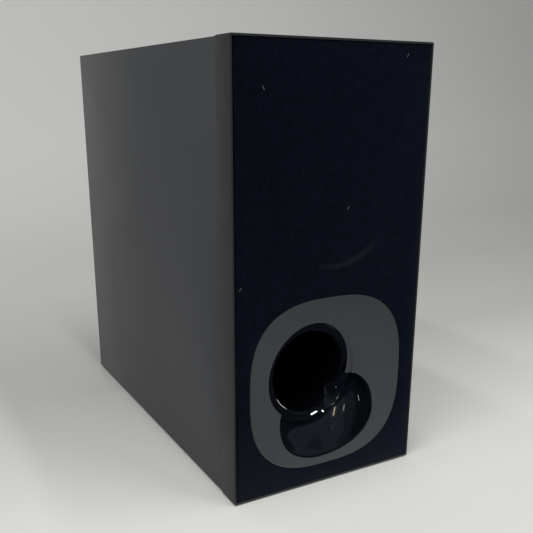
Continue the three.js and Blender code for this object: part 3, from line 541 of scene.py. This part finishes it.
# its outer edge: how far outside the outline, and how far behind the front plane
BEZEL_RIM = [(-0.35, 0.15), (0.0, 0.5), (0.0, FRAME_DEPTH), (-2.5, FRAME_DEPTH), (-2.5, 8.0)]
BEZEL_WALL = 2.5             # its thickness
FLARE_SINK = 0.75            # how far the black piece lies under the bezel's surface
FLARE_TUCK = [(1.2, 2.2), (-0.1, 1.5)]  # its hidden edge: outside the parting line, and deeper
FLARE_INSIDE = 0.8           # the roll into the tube starts at least this far inside that line
# its hidden back narrows from this radius to the tube's outside between these depths
FLARE_BACK = {"radius": 42.5, "front": 24.0, "back": 78.0}


def spiral_share(degrees):
    """1 where the tube opens out into the dish, falling smoothly to 0 round both sides."""
    away = (degrees - SPIRAL["centre"] + 180) % 360 - 180
    return np.exp(-((away / SPIRAL["spread"]) ** 2))


def oval_share(oval, x, z):
    """0 in the middle of a tilted oval, 1 on its edge."""
    c, s = math.cos(math.radians(oval["tilt"])), math.sin(math.radians(oval["tilt"]))
    u, v = x - oval["x"], z - oval["z"]
    wide = np.abs((u * c + v * s) / oval["half_width"]) ** oval["power"]
    high = np.abs((v * c - u * s) / oval["half_height"]) ** oval["power"]
    return (wide + high) ** (1 / oval["power"])


def parting_radius(degrees):
    """Where the grey bezel ends and the black piece begins: round the rim and round the dish."""
    reach = np.arange(0, 120, 0.05)
    angle = np.radians(np.asarray(degrees, float))[:, None]
    x, z = TUBE["x"] + reach * np.cos(angle), TUBE["z"] + reach * np.sin(angle)
    inside = (oval_share(RIM, x, z) < 1) | (oval_share(DISH, x, z) < 1)
    return (inside * reach).max(axis=1)


def smooth_min(a, b, softness):
    """The lower of two heights, with the crease between them rounded off."""
    h = np.clip(0.5 + 0.5 * (b - a) / softness, 0, 1)
    return b * (1 - h) + a * h - softness * h * (1 - h)


def smooth_step(value):
    """0 below 0, 1 above 1, and a smooth rise between them."""
    t = np.clip(value, 0, 1)
    return t * t * (3 - 2 * t)


def outline_share(x, z):
    """0 in the middle of the port, 1 on its outline."""
    u = np.abs((x - PORT["x"]) / PORT["half_width"]) ** PORT["power"]
    v = np.abs((z - PORT["z"]) / PORT["half_height"]) ** PORT["power"]
    return (u + v) ** (1 / PORT["power"])


def port_depth(x, z, black=False):
    """How far the bezel's surface, or the black piece's, lies behind the front plane."""
    radius = np.hypot(x - TUBE["x"], z - TUBE["z"])
    degrees = np.degrees(np.arctan2(z - TUBE["z"], x - TUBE["x"]))
    share = outline_share(x, z)
    basin = (1 - share ** BASIN["power"]) * (BASIN["depth"] + BASIN["lean"] * x)
    width = ROLL["width"]
    lip = LIP["depth"] + LIP["lean"] * np.cos(np.radians(degrees))
    roll = 0.0
    if black:
        width = width + SPIRAL["width"] * spiral_share(degrees)
        lip = lip + SPIRAL["depth"] * spiral_share(degrees)
        within = np.clip((1 - oval_share(DISH, x, z)) / HOLLOW["edge"], 0, None)
        hollow = HOLLOW["depth"] + HOLLOW["rise"] * np.maximum(z - HOLLOW["from"], 0)
        hollow = hollow + HOLLOW["lean"] * np.maximum(x, 0)
        basin = basin + hollow * (1 - np.exp(-(within ** 2)))
        into = np.clip((TUBE["mouth"] + width - radius) / width, 0, 1)
        power = ROLL["power"] + (ROLL["open_power"] - ROLL["power"]) * spiral_share(degrees)
        roll = ROLL["drop"] * width * (1 - np.maximum(1 - into ** power, 0) ** (1 / power))
    ridge = lip + RIDGE * np.maximum(radius - TUBE["mouth"] - width, 0) ** 2
    return smooth_min(basin, ridge, SOFTNESS) * smooth_step((1 - share) / EDGE_FADE) + roll


def outline_radius(degrees):
    """Distance from the tube's axis to the port's outline."""
    c, s = np.cos(np.radians(degrees)), np.sin(np.radians(degrees))
    near, far = np.zeros_like(c), np.full_like(c, 2 * PORT["half_width"])
    for _ in range(40):
        middle = (near + far) / 2
        inside = outline_share(TUBE["x"] + middle * c, TUBE["z"] + middle * s) < 1
        near, far = np.where(inside, middle, near), np.where(inside, far, middle)
    return near


def port_angles():
    """Degrees round the tube, closer together at the sharp corner between tube and dish."""
    return np.concatenate([np.arange(-12, 336, 1.5), np.arange(-24, -12, 0.25)])


def swept_points(degrees, radius, depth):
    """Points [angle, step, xyz] in metres from radii and depths in millimetres."""
    c, s = np.cos(np.radians(degrees))[:, None], np.sin(np.radians(degrees))[:, None]
    x = TUBE["x"] + radius * c
    z = TUBE["z"] + radius * s
    return np.stack([x, FRONT + depth, z], -1) * MM


def depth_along(degrees, radius, black=False):
    """port_depth at radii from the tube's axis."""
    c, s = np.cos(np.radians(degrees))[:, None], np.sin(np.radians(degrees))[:, None]
    return port_depth(TUBE["x"] + radius * c, TUBE["z"] + radius * s, black)


def port_bezel():
    """The grey moulding from the port's outline in to the parting line, with a wall behind it."""
    degrees = port_angles()
    inner = parting_radius(degrees)[:, None]
    outer = outline_radius(degrees)[:, None]
    share = np.concatenate([np.linspace(0, 1, 44)[1:-1], [0.99, 0.996]])[None, :]
    face = inner + (outer - inner) * share
    lip = depth_along(degrees, inner)
    behind = inner + (outer - inner) * np.linspace(0.9, 0.1, 9)[None, :]
    radius = np.concatenate(
        [inner + out for out, _ in BEZEL_LIP] + [face]
        + [outer + out for out, _ in BEZEL_RIM] + [behind], 1)
    depth = np.concatenate(
        [lip + deeper for _, deeper in BEZEL_LIP] + [depth_along(degrees, face)]
        + [np.full_like(inner, back) for _, back in BEZEL_RIM]
        + [depth_along(degrees, behind) + BEZEL_WALL], 1)
    mesh = grid_mesh("port_bezel_fine", swept_points(degrees, radius, depth), wrap_columns=True)
    add_piece("port_bezel_fine", mesh, "bezel_plastic", ["port_bezel"])


def port_flare():
    """The black piece: under the bezel's edge, across the dish, over the lip, down the tube."""
    degrees = port_angles()
    parting = parting_radius(degrees)[:, None]
    one = np.ones_like(parting)
    width = ROLL["width"] + SPIRAL["width"] * spiral_share(degrees)[:, None]
    start = np.minimum(TUBE["mouth"] + width, parting - FLARE_INSIDE)
    tuck = np.array(FLARE_TUCK).T[:, None, :]
    under = parting + tuck[0]
    across = parting + (start - parting) * np.linspace(0.03, 1, 34)[None, :]
    tilt = np.linspace(0, math.pi / 2, 22)[None, 1:]
    over = TUBE["mouth"] + (start - TUBE["mouth"]) * (1 - np.sin(tilt))
    front_depth = np.concatenate([
        depth_along(degrees, under, True) + tuck[1],
        depth_along(degrees, across, True) + FLARE_SINK,
        depth_along(degrees, over, True) + FLARE_SINK,
    ], 1)
    mouth = front_depth[:, -1:]
    share = np.linspace(0, 1, 10)[None, 1:]
    cone = TUBE["mouth"] + (TUBE["bore"] - TUBE["mouth"]) * share
    cone_depth = mouth + (TUBE["tail_from"] - mouth) * share
    outside = TUBE["bore"] + TUBE["wall"]
    radius = np.concatenate([
        under, across, over, cone * one, one * TUBE["bore"], one * outside, one * outside,
        one * FLARE_BACK["radius"],
    ], 1)
    depth = np.concatenate([
        front_depth, cone_depth, one * TUBE["end"], one * TUBE["end"], one * FLARE_BACK["back"],
        np.maximum(mouth, FLARE_BACK["front"]),
    ], 1)
    mesh = grid_mesh("port_flare_fine", swept_points(degrees, radius, depth), wrap_columns=True)
    add_piece("port_flare_fine", mesh, "gloss_black", ["port_flare"])


port_bezel()
port_flare()

# ---------------------------------------------------------------- grille cloth
CLOTH_CORNER = 3.0
CLOTH_EDGE = 1.0             # radius over which the cloth turns back
CLOTH_TURN = 3.2             # how far it goes back over the frame
CLOTH_THICKNESS = 0.45
CLOTH_HOLE = {"gap": 0.3, "edge": 0.6, "turn": 2.4}     # the same at the port, and a gap to it


def quarter_turn(steps, first=0):
    """Angles from 0 to a right angle."""
    return [math.radians(90 * step / steps) for step in range(first, steps + 1)]


def rounded_rectangle(half, low, high, corner, steps=6):
    """Points round a rectangle in X and Z, anticlockwise seen from the front."""
    points = []
    for cx, cz, start in (
        (half - corner, low + corner, -90), (half - corner, high - corner, 0),
        (-half + corner, high - corner, 90), (-half + corner, low + corner, 180),
    ):
        for step in range(steps + 1):
            angle = math.radians(start + 90 * step / steps)
            points.append((cx + corner * math.cos(angle), cz + corner * math.sin(angle)))
    return points


def port_outline(grow, steps=180):
    """Points round the port's outline, grown by some millimetres."""
    points = []
    for step in range(steps):
        angle = 2 * math.pi * step / steps
        c, s = math.cos(angle), math.sin(angle)
        u = math.copysign(abs(c) ** (2 / PORT["power"]), c)
        v = math.copysign(abs(s) ** (2 / PORT["power"]), s)
        points.append((
            PORT["x"] + (PORT["half_width"] + grow) * u,
            PORT["z"] + (PORT["half_height"] + grow) * v,
        ))
    return points


def ring_of(work, points, y):
    """Vertices at points of the front plane, moved to depth y."""
    return [work.verts.new((x * MM, y * MM, z * MM)) for x, z in points]


def bridge(work, rings):
    """Faces from each ring of vertices to the next."""
    for first, second in zip(rings, rings[1:]):
        for i in range(len(first)):
            j = (i + 1) % len(first)
            work.faces.new((first[i], first[j], second[j], second[i]))


def grille_cloth():
    """The cloth as one stretched sheet: edges turned back round the frame, a hole for the port."""
    low_corner, high_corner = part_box("grille_cloth")
    half = high_corner.x / MM
    low, high = low_corner.z / MM, high_corner.z / MM
    face = low_corner.y / MM
    work = bmesh.new()
    rings = []
    for angle in quarter_turn(4):
        inset = CLOTH_EDGE * (1 - math.sin(angle))
        points = rounded_rectangle(half - inset, low + inset, high - inset, CLOTH_CORNER - inset)
        rings.append(ring_of(work, points, face + CLOTH_EDGE * (1 - math.cos(angle))))
    points = rounded_rectangle(half, low, high, CLOTH_CORNER)
    rings.append(ring_of(work, points, face + CLOTH_TURN))
    bridge(work, rings)
    hole = []
    for angle in quarter_turn(3):
        points = port_outline(CLOTH_HOLE["gap"] + CLOTH_HOLE["edge"] * (1 - math.sin(angle)))
        hole.append(ring_of(work, points, face + CLOTH_HOLE["edge"] * (1 - math.cos(angle))))
    hole.append(ring_of(work, port_outline(CLOTH_HOLE["gap"]), face + CLOTH_HOLE["turn"]))
    bridge(work, hole)
    edges = []
    for ring in (rings[0], hole[0]):
        for i, vert in enumerate(ring):
            edges.append(work.edges.get((vert, ring[(i + 1) % len(ring)])))
    bmesh.ops.triangle_fill(work, use_beauty=True, use_dissolve=False, edges=edges)
    bmesh.ops.recalc_face_normals(work, faces=work.faces)
    mesh = bpy.data.meshes.new("grille_cloth_fine")
    work.to_mesh(mesh)
    work.free()
    piece = add_piece("grille_cloth_fine", mesh, "cloth", ["grille_cloth"])
    thickness = piece.modifiers.new("thickness", "SOLIDIFY")
    thickness.thickness = CLOTH_THICKNESS * MM
    thickness.offset = -1


grille_cloth()

# ---------------------------------------------------------------- driver surround
# radii of its edges and of the roll's crest, how far the roll stands out, and its thickness
SURROUND = {"outer": 71.5, "inner": 50.5, "roll": 60.2, "rise": 6.0, "rubber": 0.8}
SURROUND_STEPS = 10          # along a quarter of its roll
SURROUND_SEGMENTS = 96


def surround_half(name, middle, face, outer):
    """Half of the surround, from the crest of its roll out to the basket or in to the cone."""
    roll, rise, rubber = SURROUND["roll"], SURROUND["rise"], SURROUND["rubber"]
    side = 1 if outer else -1
    edge = SURROUND["outer"] if outer else SURROUND["inner"]
    top = rise + rubber
    foot = math.asin(rubber / top)
    line = [(edge, face)]
    for angle in quarter_turn(SURROUND_STEPS):
        line.append((roll + side * rise * math.cos(angle), face - rise * math.sin(angle)))
    for step in range(SURROUND_STEPS + 1):
        angle = math.pi / 2 + (foot - math.pi / 2) * step / SURROUND_STEPS
        line.append((roll + side * top * math.cos(angle), face - top * math.sin(angle)))
    line.append((edge, face - rubber))
    rows = []
    for segment in range(SURROUND_SEGMENTS):
        turn = 2 * math.pi * segment / SURROUND_SEGMENTS
        c, s = math.cos(turn), math.sin(turn)
        rows.append([(middle.x + r * c, y, middle.z + r * s) for r, y in line])
    return grid_mesh(name, np.array(rows) * MM, wrap_columns=True)


def driver_surround():
    """The outer half stays with the basket. The inner half rides on no body."""
    low_corner, high_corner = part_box("driver_surround")
    middle = (low_corner + high_corner) / 2 / MM
    face = high_corner.y / MM
    mesh = surround_half("surround_outer_fine", middle, face, outer=True)
    add_piece("surround_outer_fine", mesh, "soft_rubber", ["driver_surround"])
    mesh = surround_half("surround_inner_fine", middle, face, outer=False)
    piece = add_piece("surround_inner_fine", mesh, "soft_rubber", ["driver_surround"], body=None)
    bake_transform(piece)


driver_surround()

# ---------------------------------------------------------------- cabinet wrap and frame
WRAP = 0.25                  # how far the vinyl's surface stands off the boards
WRAP_THICKNESS = 0.2
WRAP_CORNER = 0.9
WRAP_INNER_CORNER = 0.15
WRAP_GAP = 0.2               # to the rear panel
# where the vinyl turns in at the rear: short of its inner face, and short of the back
WRAP_TURN = [(0.5, 0.0), (0.1, 0.2), (0.0, 0.6)]


def cabinet_wrap():
    """The vinyl that covers the four boards and turns in over their rear edges."""
    low_corner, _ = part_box("bottom_panel")
    _, high_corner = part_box("top_panel")
    half, high = high_corner.x / MM + WRAP, high_corner.z / MM + WRAP
    low = low_corner.z / MM - WRAP
    front, back = low_corner.y / MM, high_corner.y / MM + WRAP
    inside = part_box("rear_panel")[1]
    inner = half - WRAP - inside.x / MM - WRAP_GAP
    steps = [(0, front), (0, back - WRAP_CORNER)]
    for angle in quarter_turn(4, first=1):
        inset = WRAP_CORNER * (1 - math.cos(angle))
        steps.append((inset, back - WRAP_CORNER * (1 - math.sin(angle))))
    steps += [(inner - short, back - ahead) for short, ahead in WRAP_TURN]
    steps.append((inner, inside.y / MM + WRAP_GAP))
    work = bmesh.new()
    rings = []
    for inset, y in steps:
        corner = max(WRAP_CORNER - inset, WRAP_INNER_CORNER)
        points = rounded_rectangle(half - inset, low + inset, high - inset, corner, steps=4)
        rings.append(ring_of(work, points, y))
    bridge(work, rings)
    bmesh.ops.recalc_face_normals(work, faces=work.faces)
    mesh = bpy.data.meshes.new("cabinet_wrap")
    work.to_mesh(mesh)
    work.free()
    piece = add_piece("cabinet_wrap", mesh, "wrap")
    thickness = piece.modifiers.new("thickness", "SOLIDIFY")
    thickness.thickness = WRAP_THICKNESS * MM
    thickness.offset = -1


cabinet_wrap()
refined("front_frame", bevel=0.0005, segments=3)
for name in ("amp_plate", "ac_inlet"):
    refined(name, bevel=0.0003)
for index in range(1, 5):
    refined(f"foot_{index}", bevel=0.0002)
    refined(f"amp_plate_screw_{index}", bevel=0.00015)
refined("link_button", bevel=0.00025, body="button")
refined("indicator_lens", bevel=0.0002)

# ---------------------------------------------------------------- studio
SWEEP_FRONT, SWEEP_BACK, SWEEP_RADIUS, SWEEP_TOP, SWEEP_HALF = -4.0, 1.8, 0.9, 3.2, 5.0
SWEEP_NEAR = -1.0            # the row of points across the floor in front of the object
# the first colour is the painted shade behind the object, the second the paper's own
PAPER_SHADED = (0.54, 0.54, 0.524)
PAPER_BRIGHT = (0.765, 0.77, 0.745)
PAPER_SHADE_BAND = {"near": -0.20, "from": 0.12, "to": 0.50, "far": 1.5}      # Y of the band of painted shade on the floor behind the object
PAPER_MOTTLE = 0.06
SKY_STRENGTH = 0.22
COOL_WHITE = (0.95, 0.97, 1.0)
CEILING = {"count": 4, "first_x": -1.5, "step": 0.7, "y": -0.75, "z": 2.3, "aim_y": -0.6}
CEILING_SIZE, CEILING_WATTS, CEILING_COLOR = (0.14, 1.6), 13, (1.0, 0.985, 0.96)
ROOM_HEIGHT, ROOM_RADIUS, ROOM_COLOR = 2.2, 1.6, (0.62, 0.78, 1.0)
ROOM_WALLS = [
    # name, from and to in degrees from the front towards the right, strength
    ("room_left", -100, 12, 0.05),
    ("room_middle_left", 12, 22, 0.11),
    ("room_middle", 22, 32, 0.18),
    ("room_lit", 32, 50, 0.30),
    ("room_right", 50, 100, 0.07),
]
FLOOR_CARD = {"left": -2.0, "right": 2.0, "near": -2.0, "far": -0.197, "height": 0.002}
FLOOR_COLOR, FLOOR_STRENGTH = (0.5, 0.65, 1.0), 0.07
FRONT_PIECES = ["port_bezel_fine", "port_flare_fine", "grille_cloth_fine", "front_frame_fine"]
GLINT_SLACK = 2.5            # mm that a glint card's range goes beyond its highlight
GLINTS = [
    # where on the port's front it shows, start and end in mm; how far off, longest and widest
    # card in mm; colour; strength
    ((-19.0, 70.3), (-7.5, 71.6), 82, 34, 8, (0.95, 0.98, 1.0), 28.0),
    ((5.0, 62.5), (6.6, 71.0), 1400, 80, 6, (1.0, 0.80, 0.62), 16.0),
    ((15.2, 65.0), (15.8, 71.5), 1400, 60, 7, (1.0, 0.82, 0.66), 13.0),
    ((8.8, 79.5), (9.4, 82.5), 200, 24, 3, (1.0, 0.84, 0.70), 14.0),
    ((32.4, 74.0), (33.0, 75.6), 200, 30, 24, (0.85, 0.92, 1.0), 8.0),
    ((-52.4, 90.0), (-45.4, 81.3), 120, 24, 34, (1.0, 0.92, 0.84), 12.0),
]


def studio_sweep():
    """A pale floor that curves up into the backdrop, with a band of painted shade behind the
    object.
    """
    bend = SWEEP_BACK - SWEEP_RADIUS
    profile = [(SWEEP_FRONT, 0.0), (SWEEP_NEAR, 0.0), (bend, 0.0)]
    for angle in quarter_turn(16, first=1):
        rise = SWEEP_RADIUS * (1 - math.cos(angle))
        profile.append((bend + SWEEP_RADIUS * math.sin(angle), rise))
    profile.append((SWEEP_BACK, SWEEP_TOP))
    points = np.array([[(x, y, z) for y, z in profile] for x in (-SWEEP_HALF, SWEEP_HALF)])
    mesh = grid_mesh("studio_sweep", points, wrap_rows=False)
    for face in mesh.polygons:
        face.use_smooth = True
    graph = Graph("studio_paper")
    slow = graph.noise(0.5, detail=2.0)
    depth = graph.node("ShaderNodeSeparateXYZ", {"Vector": graph.place}).outputs["Y"]
    # painted shade: the paper darkens behind the object and fades back out in front and up the
    # backdrop
    in_front = graph.spread(depth, 1.0, 0.0, PAPER_SHADE_BAND["near"], PAPER_SHADE_BAND["from"])
    behind = graph.spread(depth, 0.0, 1.0, PAPER_SHADE_BAND["to"], PAPER_SHADE_BAND["far"])
    unshaded = graph.math("MAXIMUM", in_front, behind)
    share = graph.math("ADD", unshaded, graph.math("MULTIPLY", slow, PAPER_MOTTLE))
    graph.set(Base_Color=graph.blend(share, PAPER_SHADED, PAPER_BRIGHT))
    graph.set(Roughness=graph.spread(slow, 0.55, 0.65), Specular_IOR_Level=0.3)
    mesh.materials.append(graph.material)
    sweep = bpy.data.objects.new("studio_sweep", mesh)
    SCENE.collection.objects.link(sweep)


def area_light(name, place, aim, size, watts, color, in_gloss=False):
    """A rectangular lamp that the camera never sees, and gloss only if asked."""
    data = bpy.data.lights.new(name, "AREA")
    data.energy = watts
    data.color = color
    data.shape = "RECTANGLE"
    data.size, data.size_y = size
    lamp = bpy.data.objects.new(name, data)
    lamp.visible_glossy = in_gloss
    lamp.visible_camera = False
    SCENE.collection.objects.link(lamp)
    lamp.location = place
    lamp.rotation_mode = "QUATERNION"
    lamp.rotation_quaternion = (Vector(aim) - Vector(place)).to_track_quat("-Z", "Y")
    return lamp


def lights_only(source, name, pieces):
    """Light from this lamp or card reaches only the named pieces."""
    receivers = bpy.data.collections.new(name)
    for piece in pieces:
        receivers.objects.link(bpy.data.objects[piece])
    source.light_linking.receiver_collection = receivers


def gloss_card(name, mesh, color, strength, distance=None, slack=0.0):
    """A card that only gloss sees; with a distance, only gloss about that far away from it."""
    material = bpy.data.materials.new(name)
    material.use_nodes = True
    tree = material.node_tree
    tree.nodes.clear()
    glow = tree.nodes.new("ShaderNodeEmission")
    glow.inputs["Color"].default_value = (*color, 1)
    glow.inputs["Strength"].default_value = strength
    surface = glow.outputs[0]
    if distance:
        path = tree.nodes.new("ShaderNodeLightPath")
        clear = tree.nodes.new("ShaderNodeBsdfTransparent")
        mixed = tree.nodes.new("ShaderNodeMixShader")
        in_range = tree.nodes.new("ShaderNodeMath")
        in_range.operation = "COMPARE"
        in_range.inputs[1].default_value = distance
        in_range.inputs[2].default_value = slack
        tree.links.new(path.outputs["Ray Length"], in_range.inputs[0])
        tree.links.new(in_range.outputs[0], mixed.inputs[0])
        tree.links.new(clear.outputs[0], mixed.inputs[1])
        tree.links.new(surface, mixed.inputs[2])
        surface = mixed.outputs[0]
    output = tree.nodes.new("ShaderNodeOutputMaterial")
    tree.links.new(surface, output.inputs["Surface"])
    mesh.materials.append(material)
    card = bpy.data.objects.new(name, mesh)
    SCENE.collection.objects.link(card)
    card.visible_camera = False
    card.visible_diffuse = False
    card.visible_shadow = False
    card.visible_transmission = False
    return card


def room_wall(name, start, end, strength, steps=12):
    """Part of a round wall in front of the object, seen by gloss only."""
    rows = []
    for height in (0.0, ROOM_HEIGHT):
        row = []
        for step in range(steps + 1):
            angle = math.radians(start + (end - start) * step / steps)
            row.append((ROOM_RADIUS * math.sin(angle), -ROOM_RADIUS * math.cos(angle), height))
        rows.append(row)
    gloss_card(name, grid_mesh(name, np.array(rows), wrap_rows=False), ROOM_COLOR, strength)


def floor_card():
    """A dim card over the floor in front of the object, seen by gloss only."""
    points = np.array([
        [(x, y, FLOOR_CARD["height"]) for x in (FLOOR_CARD["left"], FLOOR_CARD["right"])]
        for y in (FLOOR_CARD["near"], FLOOR_CARD["far"])
    ])
    mesh = grid_mesh("dim_floor", points, wrap_rows=False)
    gloss_card("dim_floor", mesh, FLOOR_COLOR, FLOOR_STRENGTH)


def reflected_ray(mesh_tree, x, z):
    """Where the camera, looking at x, z of the front plane, meets the port, and the way on."""
    eye = SCENE.camera.location
    aim = (Vector((x, FRONT, z)) * MM - eye).normalized()
    place, normal, _, _ = mesh_tree.ray_cast(eye, aim)
    if normal.dot(aim) > 0:
        normal = -normal
    return place, aim - 2 * aim.dot(normal) * normal


def glint_cards(piece):
    """Small lamps for gloss only, where the polished piece shows them as highlights.

    They are placed for the photograph's camera. From elsewhere the highlights move or vanish.
    """
    mesh_tree = BVHTree.FromObject(piece, bpy.context.evaluated_depsgraph_get())
    for number, glint in enumerate(GLINTS, 1):
        start, end, reach, longest, widest, color, strength = glint
        ends, places = [], []
        for x, z in (start, end):
            place, away = reflected_ray(mesh_tree, x, z)
            places.append(place)
            ends.append(place + away * reach * MM)
        middle = (ends[0] + ends[1]) / 2
        place = (places[0] + places[1]) / 2
        distances = [(middle - end_place).length for end_place in places]
        slack = abs(distances[0] - distances[1]) / 2 + GLINT_SLACK * MM
        along = ends[1] - ends[0]
        length = min(along.length, longest * MM) / 2
        along.normalize()
        side = along.cross(middle - place).normalized() * widest * MM / 2
        corners = []
        for u, v in ((-1, -1), (1, -1), (1, 1), (-1, 1)):
            corners.append(middle + along * u * length + side * v)
        mesh = bpy.data.meshes.new(f"glint_{number}")
        mesh.from_pydata([tuple(corner) for corner in corners], [], [(0, 1, 2, 3)])
        card = gloss_card(f"glint_{number}", mesh, color, strength, (middle - place).length, slack)
        lights_only(card, f"lit_by_glint_{number}", [piece.name])


def studio_light():
    """Dim sky, ceiling lamps, two windows, and the dark room that the gloss reflects."""
    world = bpy.data.worlds.new("studio")
    SCENE.world = world
    world.use_nodes = True
    sky = world.node_tree.nodes["Background"]
    sky.inputs["Color"].default_value = (*COOL_WHITE, 1)
    sky.inputs["Strength"].default_value = SKY_STRENGTH
    for step in range(CEILING["count"]):
        x = CEILING["first_x"] + CEILING["step"] * step
        area_light(
            f"ceiling_{step + 1}", place=(x, CEILING["y"], CEILING["z"]),
            aim=(x, CEILING["aim_y"], 0.0), size=CEILING_SIZE,
            watts=CEILING_WATTS, color=CEILING_COLOR,
        )
    area_light(
        "left_window", place=(-2.4, -1.0, 0.9), aim=(0, 0, 0.15), size=(1.4, 1.4),
        watts=11, color=(0.92, 0.96, 1.0), in_gloss=True,
    )
    area_light(
        "right_window", place=(1.7, -1.7, 0.7), aim=(0, -0.19, 0.15), size=(1.2, 1.0),
        watts=7, color=COOL_WHITE,
    )
    for wall in ROOM_WALLS:
        room_wall(*wall)
    floor_card()
    bounce = area_light(
        "table_bounce", place=(0.05, -0.62, 0.03), aim=(0.0, -0.19, 0.05), size=(0.9, 0.3),
        watts=1.3, color=COOL_WHITE,
    )
    lights_only(bounce, "lit_by_bounce", FRONT_PIECES)
    glint_cards(bpy.data.objects["port_flare_fine"])


studio_sweep()
studio_light()
SCENE.view_settings.view_transform = "Standard"
